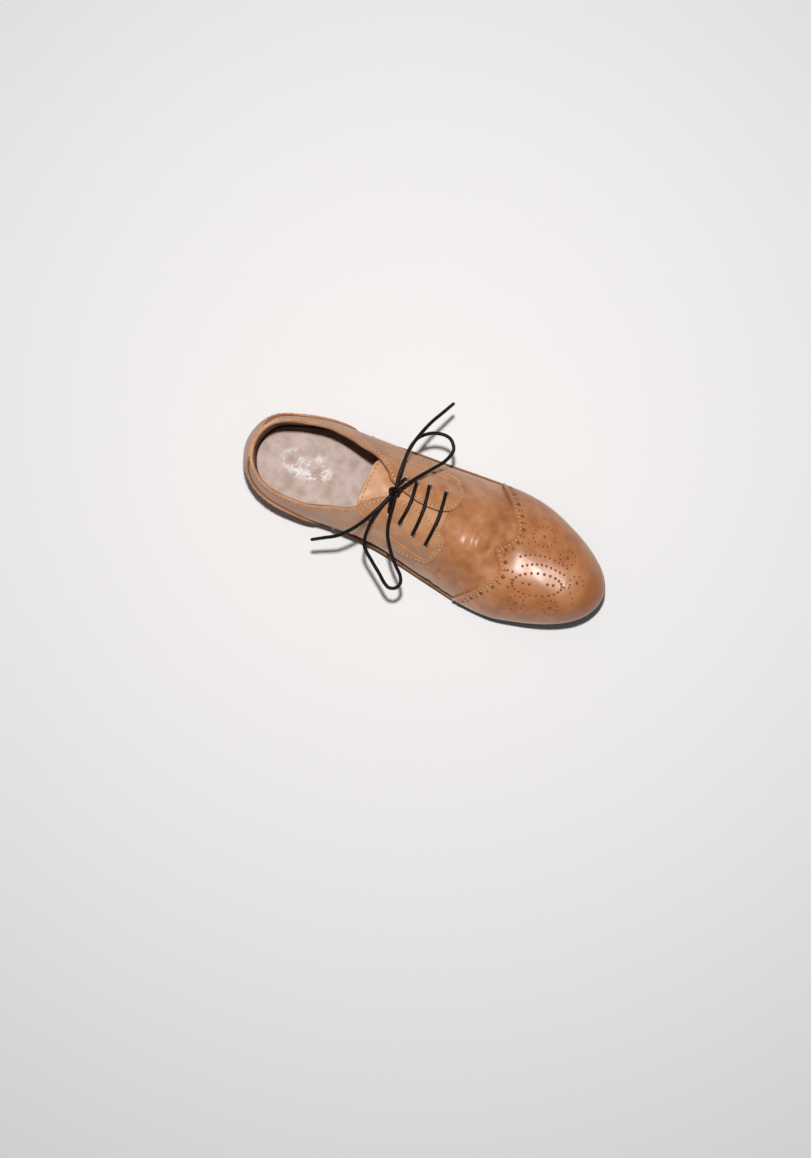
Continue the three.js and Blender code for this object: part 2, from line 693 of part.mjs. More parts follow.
const ends = {
  lateral: freeLace([
    [112.3, 9.9, 101.4], [110.5, 23.1, 103], [110.5, 39.9, 99], [115.2, 58.8, 90.5], [121, 72.4, 80.5],
  ]),
  medial: freeLace([
    [111.3, 3.3, 101.4], [106.2, -10, 101.5], [99.3, -23.5, 96.5], [89.5, -35.4, 89], [80.4, -41.2, 81.5],
  ]),
};

/** Tip sleeve that carries on from a lace's end. */
function aglet(line) {
  const end = line.at(-1);
  const ahead = end.clone().sub(line.at(-2)).normalize();
  const from = end.clone().addScaledVector(ahead, clearance);
  const spots = [0, 0.06, 0.9, 1].map((t) => from.clone().addScaledVector(ahead, agletLength * t));
  return rod(spots, laceRadius * 0.96, 10);
}

// ---------------------------------------------------------------- assembly

const finishes = {
  tan: { color: "#b0713f", roughness: 0.36, metalness: 0 },
  capTan: { color: "#a9673a", roughness: 0.32, metalness: 0 },
  lining: { color: "#a58d7d", roughness: 0.6, metalness: 0 },
  sock: { color: "#ab9590", roughness: 0.5, metalness: 0 },
  board: { color: "#b49468", roughness: 0.85, metalness: 0 },
  stiff: { color: "#cdbfa4", roughness: 0.8, metalness: 0 },
  cork: { color: "#8c6239", roughness: 0.9, metalness: 0 },
  steel: { color: "#8d9095", roughness: 0.4, metalness: 0.9 },
  welt: { color: "#a87f5c", roughness: 0.7, metalness: 0 },
  lift: { color: "#a9756a", roughness: 0.75, metalness: 0 },
  rubber: { color: "#25211f", roughness: 0.65, metalness: 0 },
  tip: { color: "#4b484c", roughness: 0.7, metalness: 0 },
  wax: { color: "#15110f", roughness: 0.45, metalness: 0 },
  eyelet: { color: "#c9c4bb", roughness: 0.3, metalness: 0.9 },
};

/** Mesh of a solid or a closed geometry under a node name. */
function mesh(name, shape, finish) {
  let geometry = shape;
  if (!shape.isBufferGeometry) {
    const { vertProperties, triVerts } = shape.getMesh();
    geometry = new THREE.BufferGeometry();
    geometry.setAttribute("position", new THREE.BufferAttribute(vertProperties, 3));
    geometry.setIndex(new THREE.BufferAttribute(triVerts, 1));
  }
  geometry.computeVertexNormals();
  const piece = new THREE.Mesh(geometry, new THREE.MeshStandardMaterial(finishes[finish]));
  piece.name = name;
  return piece;
}

const upper = new THREE.Group();
const sole = new THREE.Group();
const lacing = new THREE.Group();
const freeLacing = new THREE.Group();
const sides = { lateral: 1, medial: -1 };

upper.add(
  mesh("toe_cap", capSkin.intersect(beyond(capSeam, 0)), "capTan"),
  mesh("vamp", vampSkin.subtract(beyond(capSeam, overlap)).subtract(backAndAbove(vampEdge)), "tan"),
  mesh("counter_foxing", counterSkin.intersect(underTopLine).intersect(counterRegion), "capTan"),
  mesh("toe_puff", vampSkin.intersect(beyond(capSeam, puffFrom)), "stiff"),
  mesh("tongue", tongueStrip(tongueDepth, tongueDepth + leather), "tan"),
  mesh("tongue_lining", tongueStrip(tongueInside, tongueInside + 0.8), "lining"),
  mesh("vamp_lining", vampLiningSkin.subtract(behind(liningSeam + clearance)).subtract(tongueSlot),
    "lining"),
  mesh("heel_stiffener", vampSkin.intersect(prism(
    [[-20, 12], [-20, 66], [10, 62], [26, 55], [42, 48], [54, 38], [61, 26], [62, 12]]
      .map(sidePoint), "side", -wide, wide)), "stiff"),
);
for (const [name, side] of Object.entries(sides)) {
  const places = [1, 2, 3, 4].map((pair) => eyeletAt(side, pair));
  const punched = (piece) => places.reduce((rest, place) => rest.subtract(eyeletHole(place)), piece);
  upper.add(
    mesh(`quarter_${name}`, punched(quarter(side)), "tan"),
    mesh(`quarter_lining_${name}`, punched(quarterLining(side)), "lining"),
  );
  places.forEach((place, i) => lacing.add(mesh(`eyelet_${name}_${i + 1}`, eyeletRing(place), "eyelet")));
  freeLacing.add(
    mesh(`lace_loop_${name}`, rod(loops[name], laceRadius), "wax"),
    mesh(`lace_end_${name}`, rod(ends[name], laceRadius), "wax"),
    mesh(`aglet_${name}`, aglet(ends[name]), "wax"),
  );
}
lacing.add(mesh("lace_run", laceRun, "wax"), mesh("lace_knot", solid(knot), "wax"));
sole.add(
  mesh("welt", welt, "welt"),
  mesh("insole_board", insoleBoard, "board"),
  mesh("sock", sock, "sock"),
  mesh("shank", shank, "steel"),
  mesh("cork_filler", corkFiller, "cork"),
  mesh("midsole", midsole, "welt"),
  mesh("forepart_rubber", rubberSole, "rubber"),
  mesh("heel_lift", heelLift, "lift"),
  mesh("heel_front_piece", topPiece.intersect(bowed(tipSplit + clearance, 4, true)), "lift"),
  mesh("heel_rubber_tip", topPiece.intersect(bowed(tipSplit, 4, false)), "tip"),
);

// The origin is the middle of the shoe's box on the ground, without the free lace
const shoe = new THREE.Group();
shoe.add(upper, sole, lacing);
const box = new THREE.Box3().setFromObject(shoe);
const centre = box.getCenter(new THREE.Vector3());
shoe.add(freeLacing);
shoe.position.set(-centre.x, -centre.y, -box.min.z);

export default shoe;
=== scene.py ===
"""A left derby shoe in burnished tan calf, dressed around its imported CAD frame.

Lengths in the classes below are in millimetres measured from the back of the heel
(x), the middle of the last (y, positive to the outside of the foot) and the ground
(z). LastShape turns them into metres in the row frame.
"""

from __future__ import annotations

import logging
import math
from dataclasses import dataclass, field
from enum import Enum
from typing import Callable, Sequence

import bpy
import numpy as np
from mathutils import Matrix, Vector

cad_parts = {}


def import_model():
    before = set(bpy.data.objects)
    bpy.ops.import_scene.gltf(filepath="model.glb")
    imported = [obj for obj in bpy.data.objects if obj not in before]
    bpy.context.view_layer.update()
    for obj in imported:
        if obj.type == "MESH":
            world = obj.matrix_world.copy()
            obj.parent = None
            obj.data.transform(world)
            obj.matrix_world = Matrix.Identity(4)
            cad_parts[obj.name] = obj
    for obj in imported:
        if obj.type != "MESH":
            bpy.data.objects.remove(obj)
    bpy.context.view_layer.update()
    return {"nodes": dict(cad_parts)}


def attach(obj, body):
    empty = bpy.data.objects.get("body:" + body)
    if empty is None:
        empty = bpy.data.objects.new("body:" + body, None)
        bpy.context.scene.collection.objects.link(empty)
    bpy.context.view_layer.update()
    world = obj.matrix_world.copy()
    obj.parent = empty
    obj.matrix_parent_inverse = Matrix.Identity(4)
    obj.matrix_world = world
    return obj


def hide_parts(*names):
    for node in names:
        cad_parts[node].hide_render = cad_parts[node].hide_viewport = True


log = logging.getLogger("derby_shoe")
MM = 0.001
HEEL_BACK = (-139.28, -1.61)  # the last's x = 0, y = 0 in the row frame
SIDES = {"lateral": 1.0, "medial": -1.0}

Array = np.ndarray
Points = Sequence[Sequence[float]]
Lift = Callable[[Array, Array], Array]  # how far a layer stands up, by x and share
Frame = tuple[Array, Array, Array, Array]  # centre, along, across and out


class Body(Enum):
    """CAD bodies that pieces ride on."""

    SHOE = "shoe"
    TONGUE = "tongue"


class Slot(Enum):
    """Material slots of the record."""

    CAP = "cap_leather"
    TAN = "tan_leather"
    TONGUE = "tongue_leather"
    LINING = "lining_leather"
    SOCK = "sock_leather"
    WELT = "welt_leather"
    MIDSOLE = "midsole_leather"
    LIFT = "lift_leather"
    RUBBER = "sole_rubber"
    TIP = "tip_rubber"
    LACE = "lace_cotton"
    FILM = "tip_film"
    EYELET = "eyelet_metal"


# ---------------------------------------------------------------- curves


class SmoothCurve:
    """Smooth function through points that never overshoots them."""

    def __init__(self, points: Points, blur: float = 0.0) -> None:
        """Fits the curve.

        Args:
            points: Rows of x and value, with x rising.
            blur: Width, as a share of the whole, that the curve is softened over.
        """
        xs, ys = (np.array(column, float) for column in zip(*points))
        slope = np.diff(ys) / np.diff(xs)
        inner = np.zeros(len(xs) - 2)
        same = slope[:-1] * slope[1:] > 0
        inner[same] = (2 * slope[:-1] * slope[1:])[same] / (slope[:-1] + slope[1:])[same]
        tangent = np.concatenate([slope[:1], inner, slope[-1:]])
        self.x = np.linspace(xs[0], xs[-1], 1201)
        i = np.clip(np.searchsorted(xs, self.x, "right") - 1, 0, len(xs) - 2)
        w = xs[i + 1] - xs[i]
        t = (self.x - xs[i]) / w
        self.y = (
            (2 * t**3 - 3 * t**2 + 1) * ys[i]
            + (t**3 - 2 * t**2 + t) * w * tangent[i]
            + (3 * t**2 - 2 * t**3) * ys[i + 1]
            + (t**3 - t**2) * w * tangent[i + 1]
        )
        if blur:
            self._soften(blur)

    def _soften(self, blur: float) -> None:
        """Blurs the samples and keeps both end values."""
        reach = int(3 * blur * len(self.x))
        weight = np.exp(-0.5 * (np.arange(-reach, reach + 1) / (blur * len(self.x))) ** 2)
        before = 2 * self.y[0] - self.y[1 : reach + 1][::-1]
        after = 2 * self.y[-1] - self.y[-reach - 1 : -1][::-1]
        padded = np.concatenate([before, self.y, after])
        self.y = np.convolve(padded, weight / weight.sum(), "valid")

    def __call__(self, x: Array | float) -> Array:
        """Value at x, held at the ends."""
        return np.interp(x, self.x, self.y)


def ramp(x: Array | float, low: float, high: float) -> Array:
    """Smooth step from 0 at low to 1 at high."""
    t = np.clip((np.asarray(x, float) - low) / (high - low), 0, 1)
    return t * t * (3 - 2 * t)


def smooth_line(points: Points, pieces: int = 8) -> Array:
    """Points of a smooth line through the given ones.

    Args:
        points: Rows of coordinates.
        pieces: Steps between one given point and the next.

    Returns:
        An array of the line's points.
    """
    p = np.array(points, float)
    padded = np.vstack([p[:1], p, p[-1:]])
    rows = []
    for i in range(len(p) - 1):
        a, b, c, d = padded[i : i + 4]
        for t in np.arange(pieces) / pieces:
            rows.append(
                0.5 * ((2 * b) + (c - a) * t + (2 * a - 5 * b + 4 * c - d) * t**2
                       + (3 * b - a - 3 * c + d) * t**3)
            )
    return np.array(rows + [p[-1]])


def length_along(points: Array) -> Array:
    """Distance from the first point to each of them."""
    steps = np.linalg.norm(np.diff(points, axis=0), axis=1)
    return np.concatenate([[0.0], np.cumsum(steps)])


def spread(points: Array, count: int, measure: Array | None = None) -> Array:
    """Points spaced evenly along a line.

    Args:
        points: Rows of the line.
        count: How many points to return.
        measure: Rows that the spacing is measured on, if not the points.

    Returns:
        An array with count rows.
    """
    run = length_along(points if measure is None else measure)
    at = np.linspace(0, run[-1], count)
    return np.stack([np.interp(at, run, column) for column in points.T], axis=1)


def row_frame(points: Points) -> Array:
    """Points in the row frame, in metres, from the last's millimetres."""
    p = np.array(points, float)
    return (p + np.array([*HEEL_BACK, 0.0])) * MM


# ---------------------------------------------------------------- the last


# walking creases: x, lean, depth, half width, y of the middle and reach along y
CREASES = (
    (165, 0.14, 1.0, 4.8, -6, 24), (174.5, -0.12, 1.35, 4.4, 4, 20),
    (183, 0.2, 1.1, 4.2, -16, 17), (187.5, -0.06, 0.75, 3.4, 12, 22),
    (161, 0.5, 0.7, 2.6, -33, 9), (169, 0.45, 0.6, 2.8, -34, 10),
    (177, -0.4, 0.6, 3.0, 31, 12),
)


@dataclass
class LastShape:
    """The shoe's skin: ribs that rise from the feather line to a ridge over the foot.

    A place on the skin is (turn, w): turn runs from 0 at the heel's back to pi at the
    toe, and w from -1 at the medial feather line, through 0 on the ridge, to 1 at the
    lateral one.

    Attributes:
        back: x of the feather line at the heel's back.
        toe: x of the feather line at the toe.
        sole_stack: Thickness of the welt, midsole and outer sole.
        ridge_from: Where the ridge starts.
        ridge_to: Where the ridge ends.
        lift_height: How far the facings stand up.
        leather: Thickness of the upper's leather.
        gap: Room between the leather and its lining.
    """

    back: float = 4.0
    toe: float = 276.0
    sole_stack: float = 10.0
    ridge_from: float = 30.0
    ridge_to: float = 247.0
    lift_height: float = 2.5
    leather: float = 1.3
    gap: float = 0.3

    def __post_init__(self) -> None:
        """Fits the curves."""
        half = [
            (13.9, 22.7, 22.2), (27.8, 29.4, 30.2), (41.7, 34.1, 32.7), (55.6, 37, 32.8),
            (83.4, 38.2, 30.4), (111.2, 40.8, 31), (139, 42.9, 35.3), (166.8, 45.2, 39.9),
            (194.6, 46.7, 43.5), (208.5, 45.6, 43.3), (222.4, 42.4, 40.1), (236.3, 37, 36),
            (250.2, 30.4, 30.5), (264.1, 20.6, 22),
        ]
        self.half = {
            side: SmoothCurve(
                [(0, 0)] + [(float(self.turn_of(r[0])), r[k]) for r in half] + [(math.pi, 0)],
                0.012,
            )
            for side, k in ((1.0, 1), (-1.0, 2))
        }
        self.pitch = SmoothCurve([
            (0, 12.1), (18, 10.2), (43, 8.6), (67, 8.2), (83, 7.26), (97, 6.05), (113, 4.72),
            (130, 2.42), (146, 0.6), (163, 0), (174, 0.28), (195, 2.77), (216, 7.2),
            (241, 14.7), (258, 20.8), (270, 25.8), (278, 28),
        ], 0.01)
        self.ridge_z = SmoothCurve([
            (30, 126), (60, 114), (90, 103), (112, 91.2), (130, 83), (150, 74.4), (162, 69.4),
            (174, 67.8), (183, 66.6), (192, 62.8), (200, 60), (208, 59), (222, 60.3),
            (235, 61.3), (247, 61.5),
        ], 0.012)
        self.ridge_y = SmoothCurve([
            (30, 1), (60, 4), (90, 6), (115, 5.6), (132, 3.5), (145, 2.5), (165, 0),
            (190, -3.5), (215, -5), (247, -5),
        ], 0.02)
        self.fullness = SmoothCurve([
            (0, 1.85), (40, 2), (92, 2.2), (120, 2), (150, 1.9), (185, 1.95), (215, 2.2),
            (250, 2.4), (276, 2.4),
        ], 0.02)
        self.bulge = SmoothCurve([
            (0, 2.9), (40, 2), (90, 1.5), (140, 2), (195, 2.5), (240, 2), (276, 1.5),
        ], 0.02)

    def turn_of(self, x: Array | float) -> Array:
        """Turn of the rib that starts at x."""
        share = 1 - 2 * (np.asarray(x, float) - self.back) / (self.toe - self.back)
        return np.arccos(np.clip(share, -1, 1))

    def x_of(self, turn: Array | float) -> Array:
        """Where the rib at a turn starts."""
        return self.back + (self.toe - self.back) * (1 - np.cos(turn)) / 2

    def feather_z(self, x: Array | float) -> Array:
        """Height of the welt's top."""
        return self.sole_stack + self.pitch(x)

    def foot(self, turn: Array, side: Array) -> tuple[Array, Array, Array, Array]:
        """Foot of each rib with the outline's outward direction there.

        Args:
            turn: Turn of each rib.
            side: 1 for lateral, -1 for medial.

        Returns:
            x and y of each foot, and x and y of the outward direction.
        """
        def at(t: Array) -> tuple[Array, Array]:
            """Outline point at a turn."""
            wide = np.where(side > 0, self.half[1.0](t), self.half[-1.0](t))
            return self.x_of(t), side * wide

        x, y = at(turn)
        x0, y0 = at(np.clip(turn - 0.01, 0, math.pi))
        x1, y1 = at(np.clip(turn + 0.01, 0, math.pi))
        long = np.hypot(x1 - x0, y1 - y0)
        nx, ny = -side * (y1 - y0) / long, side * (x1 - x0) / long
        tip = (turn <= 1e-9) | (turn >= math.pi - 1e-9)
        nx = np.where(tip, np.where(turn < 1, -1.0, 1.0), nx)
        return x, np.where(tip, 0, y), nx, np.where(tip, 0, ny)

    def ridge_x(self, x: Array) -> Array:
        """The ridge's x for a rib that starts at x."""
        def ease(over: Array) -> Array:
            """Rises smoothly from 0 once it is over the limit."""
            soft = 8.0
            bent = (over + soft) ** 2 / (4 * soft)
            return np.where(over <= -soft, 0, np.where(over >= soft, over, bent))

        return x + ease(self.ridge_from - x) - ease(x - self.ridge_to)

    def facing_lift(self, x: Array, share: Array) -> Array:
        """How far the facings stand up to make room for the lace."""
        front = 1 - 0.55 * ramp(x, 148, 160)
        return self.lift_height * ramp(share, 0.5, 0.62) * ramp(x, 70, 92) * front

    def lining_lift(self, x: Array, share: Array) -> Array:
        """The same for the lining, which closes up to the facing."""
        shape = ramp(share, 0.5, 0.62) * ramp(x, 70, 92)
        return self.facing_lift(x, share) + (self.leather + self.gap) * shape

    def relief(self, x: Array, y: Array, share: Array) -> Array:
        """Wear of the leather: walking creases over the ball and slight unevenness.

        Args:
            x: Place along the shoe.
            y: Place across it.
            share: Place up the rise, from 0 to 1.

        Returns:
            Height in millimetres.
        """
        bumps = 0.16 * np.sin(x * 0.19 + 1.3 * np.sin(y * 0.11)) * np.sin(y * 0.16 + x * 0.05)
        out = bumps * ramp(share, 0.1, 0.4)
        for x0, lean, deep, wide, y0, reach in CREASES:
            along = x - (x0 + lean * (y - y0) + 1.2 * np.sin(y * 0.23 + x0))
            across = np.exp(-(((y - y0) / reach) ** 2))
            fold = np.exp(-((along / wide) ** 2)) - 0.45 * np.exp(-(((along - 4.5) / 3) ** 2))
            out -= deep * across * fold
        return out * ramp(x, 40, 60)

    def skin(self, turn: Array, w: Array, depth: Array | float = 0.0,
             lift: Lift | None = None, worn: bool = True) -> Array:
        """Points of the skin, in metres in the row frame.

        Args:
            turn: Turn of each place.
            w: Place across the skin, from -1 to 1.
            depth: How far inside the outermost leather, in millimetres.
            lift: Raises a layer by x and share of the rise.
            worn: Whether the creases of wear are put in.

        Returns:
            An array with a last axis of x, y and z.
        """
        turn, w = np.broadcast_arrays(np.asarray(turn, float), np.asarray(w, float))
        side = np.where(w >= 0, 1.0, -1.0)
        share = np.clip(1 - np.abs(w), 0, 1)
        x, y, nx, ny = self.foot(turn, side)
        sx, n, fz = self.ridge_x(x), 2 / self.fullness(x), self.feather_z(x)
        sy = self.ridge_y(sx)
        rise = share * math.pi / 2
        h, k = np.clip(np.cos(rise), 0, 1) ** n, np.clip(np.sin(rise), 0, 1) ** n
        d = depth - (lift(x, share) if lift else 0)
        if worn:
            d = d - self.relief(x, sy + h * (y - sy), share)
        swell = self.bulge(x) * k * (1 - k) ** 3 / 0.1055
        point = np.stack([
            sx + h * (x - nx * d - sx) + nx * swell + HEEL_BACK[0],
            sy + h * (y - ny * d - sy) + ny * swell + HEEL_BACK[1],
            fz + k * (self.ridge_z(sx) - d - fz),
        ], axis=-1)
        return point * MM

    def _settle(self, x: Array, match: Callable[[Array, Array], Array], w_side: Array,
                lift: Lift | None = None) -> Array:
        """Finds places on the skin by halving, then by mending x.

        Args:
            x: Where each place should be along the shoe.
            match: Tells whether a place has yet to rise.
            w_side: Side of each place.
            lift: The layer's lift.

        Returns:
            Rows of turn and w.
        """
        turn = self.turn_of(x)
        share = np.full_like(turn, 0.5)
        for _ in range(10):
            low, high = np.zeros_like(turn), np.ones_like(turn)
            for _ in range(26):
                share = (low + high) / 2
                more = match(turn, w_side * (1 - share))
                low, high = np.where(more, share, low), np.where(more, high, share)
            here = self.skin(turn, w_side * (1 - share), 0, lift, False)[..., 0] / MM - HEEL_BACK[0]
            turn = self.turn_of(np.clip(self.x_of(turn) + 0.8 * (x - here), self.back, self.toe))
        return np.stack([turn, w_side * (1 - share)], axis=-1)

    def from_plan(self, points: Points, lift: Lift | None = None) -> Array:
        """Places under points given as x, y seen from above."""
        p = np.array(points, float)
        side = np.where(p[:, 1] >= self.ridge_y(p[:, 0]), 1.0, -1.0)

        def match(turn: Array, w: Array) -> Array:
            """Whether a place lies outside its point."""
            y = self.skin(turn, w, 0, lift, False)[..., 1] / MM - HEEL_BACK[1]
            return side * (y - p[:, 1]) > 0

        return self._settle(p[:, 0], match, side, lift)

    def from_side(self, points: Points, side: float) -> Array:
        """Places behind points given as x, z seen from one side."""
        p = np.array(points, float)

        def match(turn: Array, w: Array) -> Array:
            """Whether a place lies under its point."""
            return self.skin(turn, w, worn=False)[..., 2] / MM < p[:, 1]

        return self._settle(p[:, 0], match, np.full(len(p), side))


LAST = LastShape()
QUARTER_EDGE = [
    (79.9, 17.4), (80, 24.6), (83.2, 32.3), (90, 39.2), (99.5, 44.2), (111.4, 46.7),
    (135.6, 48.1), (152.6, 48.8),
]
FACING_FRONT = [(152.6, 48.8), (155.4, 55.5), (157.5, 64.5)]
TOP_LINE = [(9, 84), (25, 80.4), (47, 76.8), (61, 77.9), (77, 85), (92, 91.4)]
THROAT = {
    1.0: [(158.3, 25), (155.9, 15.3), (151.3, 10.5), (143.8, 8), (128.5, 7.9), (109.1, 12.7),
          (102.7, 18.4), (92.4, 25.2)],
    -1.0: [(159.2, -17.8), (157.2, -9), (151.9, -3.7), (143.1, 1), (132.3, 3.9), (118.5, 4.5),
           (106.8, 0.7), (96.8, -7.1), (91, -14.7)],
}
COUNTER_EDGE = [
    (11.4, 83.2), (11.2, 75), (11.6, 67), (13.6, 60.2), (18.2, 55.2), (25.5, 51.6), (34.4, 48.7),
    (45.1, 45.4), (55.1, 40.2), (62.8, 34.1), (67.2, 26.9), (69.3, 18.5),
]
CAP_SEAM = [
    (176.5, 52), (178.3, 49.8), (183.4, 44.4), (191.2, 36.1), (198.2, 26.9), (201.9, 18.2),
    (200.8, 11.2), (196, 5.3), (193.9, 1.6), (195.6, -3.2), (200, -8.7), (201.3, -13.7),
    (198.9, -21.3), (193.5, -29.4), (187.8, -36.7), (181.5, -43), (178.5, -46),
]


# ---------------------------------------------------------------- making meshes


def pick(obj: bpy.types.Object) -> bpy.types.Object:
    """Selects only this object and makes it active."""
    bpy.ops.object.select_all(action="DESELECT")
    obj.select_set(True)
    bpy.context.view_layer.objects.active = obj
    return obj


def coordinates(obj: bpy.types.Object) -> Array:
    """The object's vertices as rows."""
    flat = np.empty(len(obj.data.vertices) * 3)
    obj.data.vertices.foreach_get("co", flat)
    return flat.reshape(-1, 3)


def place_vertices(obj: bpy.types.Object, points: Array) -> None:
    """Moves every vertex of the object."""
    obj.data.vertices.foreach_set("co", np.ascontiguousarray(points, float).ravel())
    obj.data.update()


def primitive(kind: str, **settings: object) -> bpy.types.Object:
    """Adds a mesh primitive with nothing else selected."""
    bpy.ops.object.select_all(action="DESELECT")
    getattr(bpy.ops.mesh, f"primitive_{kind}_add")(**settings)
    return bpy.context.object


def join(pieces: Sequence[bpy.types.Object]) -> bpy.types.Object:
    """Joins pieces into the first of them."""
    pick(pieces[0])
    for piece in pieces[1:]:
        piece.select_set(True)
    bpy.ops.object.join()
    return pieces[0]


def edit(obj: bpy.types.Object, *steps: Callable[[], object]) -> None:
    """Runs mesh operators on an object, each with everything in it selected."""
    pick(obj)
    bpy.ops.object.mode_set(mode="EDIT")
    for step in steps:
        bpy.ops.mesh.select_all(action="SELECT")
        step()
    bpy.ops.object.mode_set(mode="OBJECT")


def normals_out() -> None:
    """Turns the faces being edited outwards."""
    bpy.ops.mesh.normals_make_consistent(inside=False)


def weld(obj: bpy.types.Object, reach: float = 2e-6, fill: bool = False) -> None:
    """Merges vertices that meet and can close open edges.

    Args:
        obj: The mesh object.
        reach: How near vertices are to be merged, in metres.
        fill: Whether every open edge loop is closed with a face.
    """
    steps = [lambda: bpy.ops.mesh.remove_doubles(threshold=reach)]
    if fill:
        steps += [lambda: bpy.ops.mesh.fill_holes(sides=0), normals_out]
    edit(obj, *steps)


def face_out(obj: bpy.types.Object, inside: Callable[[Array], Array]) -> None:
    """Turns an open sheet's faces away from the inner points.

    Args:
        obj: The mesh object.
        inside: Gives a point on the inner side for each face centre.
    """
    count = len(obj.data.polygons)
    centre, normal = np.empty(count * 3), np.empty(count * 3)
    obj.data.polygons.foreach_get("center", centre)
    obj.data.polygons.foreach_get("normal", normal)
    centre, normal = centre.reshape(-1, 3), normal.reshape(-1, 3)
    if np.sum((centre - inside(centre)) * normal) < 0:
        edit(obj, bpy.ops.mesh.flip_normals)


def foot_axis(centre: Array) -> Array:
    """Points on a line through the middle of the foot."""
    inner = centre.copy()
    inner[:, 0] = np.clip(inner[:, 0], -0.1, 0.1)
    inner[:, 1] = 0
    inner[:, 2] = 0.034
    return inner


def thicken(obj: bpy.types.Object, thickness: float, edge: float, angle: float = 50) -> None:
    """Gives a sheet its thickness inwards, with rounded edges.

    Args:
        obj: The sheet.
        thickness: In millimetres; 0 leaves the thickness alone.
        edge: Size of the rounding in millimetres.
        angle: Edges sharper than this many degrees are rounded.
    """
    pick(obj)
    if thickness:
        solid = obj.modifiers.new("Thickness", "SOLIDIFY")
        solid.thickness = thickness * MM
        solid.offset = -1
        bpy.ops.object.modifier_apply(modifier=solid.name)
    bevel = obj.modifiers.new("Edges", "BEVEL")
    bevel.width = edge * MM
    bevel.segments = 3
    bevel.limit_method = "ANGLE"
    bevel.angle_limit = math.radians(angle)
    bpy.ops.object.modifier_apply(modifier=bevel.name)
    bpy.ops.object.shade_smooth_by_angle(angle=math.radians(60))


def grid(name: str, place: Callable[[Array, Array], Array], nu: int, nv: int) -> bpy.types.Object:
    """Makes a sheet from a grid primitive shaped by a function.

    Args:
        name: Name of the object.
        place: Gives points in metres from u and v, each from 0 to 1.
        nu: Faces along u.
        nv: Faces along v.

    Returns:
        The new object, at the origin.
    """
    obj = primitive("grid", x_subdivisions=nu, y_subdivisions=nv, size=2)
    obj.name = obj.data.name = name
    uv = coordinates(obj)[:, :2] / 2 + 0.5
    place_vertices(obj, place(uv[:, 0], uv[:, 1]))
    return obj


def shell(name: str, place: Callable[[Array, Array], Array], nu: int, nv: int,
          thickness: float, edge: float = 0.4) -> bpy.types.Object:
    """Makes a leather piece from a sheet over the foot; arguments as for grid."""
    obj = grid(name, place, nu, nv)
    weld(obj)
    face_out(obj, foot_axis)
    thicken(obj, thickness, edge)
    return obj


def tube(name: str, points: Array, radius: float, taper: Array | None = None,
         keep_curve: bool = False) -> bpy.types.Object:
    """Makes a round cord through points.

    Args:
        name: Name of the object.
        points: Rows of x, y and z in metres.
        radius: In millimetres.
        taper: Share of the radius at each point.
        keep_curve: Whether it stays a curve.

    Returns:
        The new object.
    """
    curve = bpy.data.curves.new(name, "CURVE")
    curve.dimensions = "3D"
    curve.bevel_depth = radius * MM
    curve.bevel_resolution = 5
    curve.use_fill_caps = True
    spline = curve.splines.new("POLY")
    spline.points.add(len(points) - 1)
    for i, (spot, at) in enumerate(zip(spline.points, points)):
        spot.co = (*at, 1)
        spot.radius = 1 if taper is None else float(taper[i])
    spline.use_smooth = True
    obj = bpy.data.objects.new(name, curve)
    bpy.context.collection.objects.link(obj)
    if not keep_curve:
        pick(obj)
        bpy.ops.object.convert(target="MESH")
        obj = bpy.context.object
        bpy.ops.object.shade_smooth_by_angle(angle=math.radians(50))
    return obj


def repeat(name: str, base: bpy.types.Object, frames: Sequence[Frame],
           scales: Sequence[float] | None = None) -> bpy.types.Object:
    """Copies a small shape to many places in one mesh, and removes the shape.

    Args:
        name: Name of the joined object.
        base: The small shape, in millimetres, about the origin.
        frames: For each copy its centre in metres and the directions of its axes.
        scales: Size of each copy.

    Returns:
        The joined object.
    """
    co = coordinates(base) * MM
    faces = [tuple(p.vertices) for p in base.data.polygons]
    smooth = [p.use_smooth for p in base.data.polygons]
    verts, all_faces = [], []
    for i, (centre, ax, ay, az) in enumerate(frames):
        size = 1.0 if scales is None else scales[i]
        verts.append(centre + size * (co[:, :1] * ax + co[:, 1:2] * ay + co[:, 2:] * az))
        all_faces += [tuple(i * len(co) + k for k in f) for f in faces]
    mesh = bpy.data.meshes.new(name)
    mesh.from_pydata(np.vstack(verts).tolist(), [], all_faces)
    mesh.polygons.foreach_set("use_smooth", smooth * len(frames))
    obj = bpy.data.objects.new(name, mesh)
    bpy.context.collection.objects.link(obj)
    bpy.data.objects.remove(base, do_unlink=True)
    return obj


def dress(obj: bpy.types.Object, material: bpy.types.Material, slot: Slot, body: Body,
          *nodes: str) -> bpy.types.Object:
    """Gives a piece its finish, its body and the CAD nodes it stands for.

    Args:
        obj: The piece.
        material: Its finish.
        slot: The record's slot for that finish; not used.
        body: The CAD body it rides on.
        nodes: CAD nodes that it stands for.

    Returns:
        The piece.
    """
    obj.data.materials.clear()
    obj.data.materials.append(material)
    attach(obj, body.value)
    if nodes:
        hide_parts(*nodes)
    log.info("%s: %s on %s", obj.name, material.name, body.value)
    return obj


# ---------------------------------------------------------------- four-sided pieces


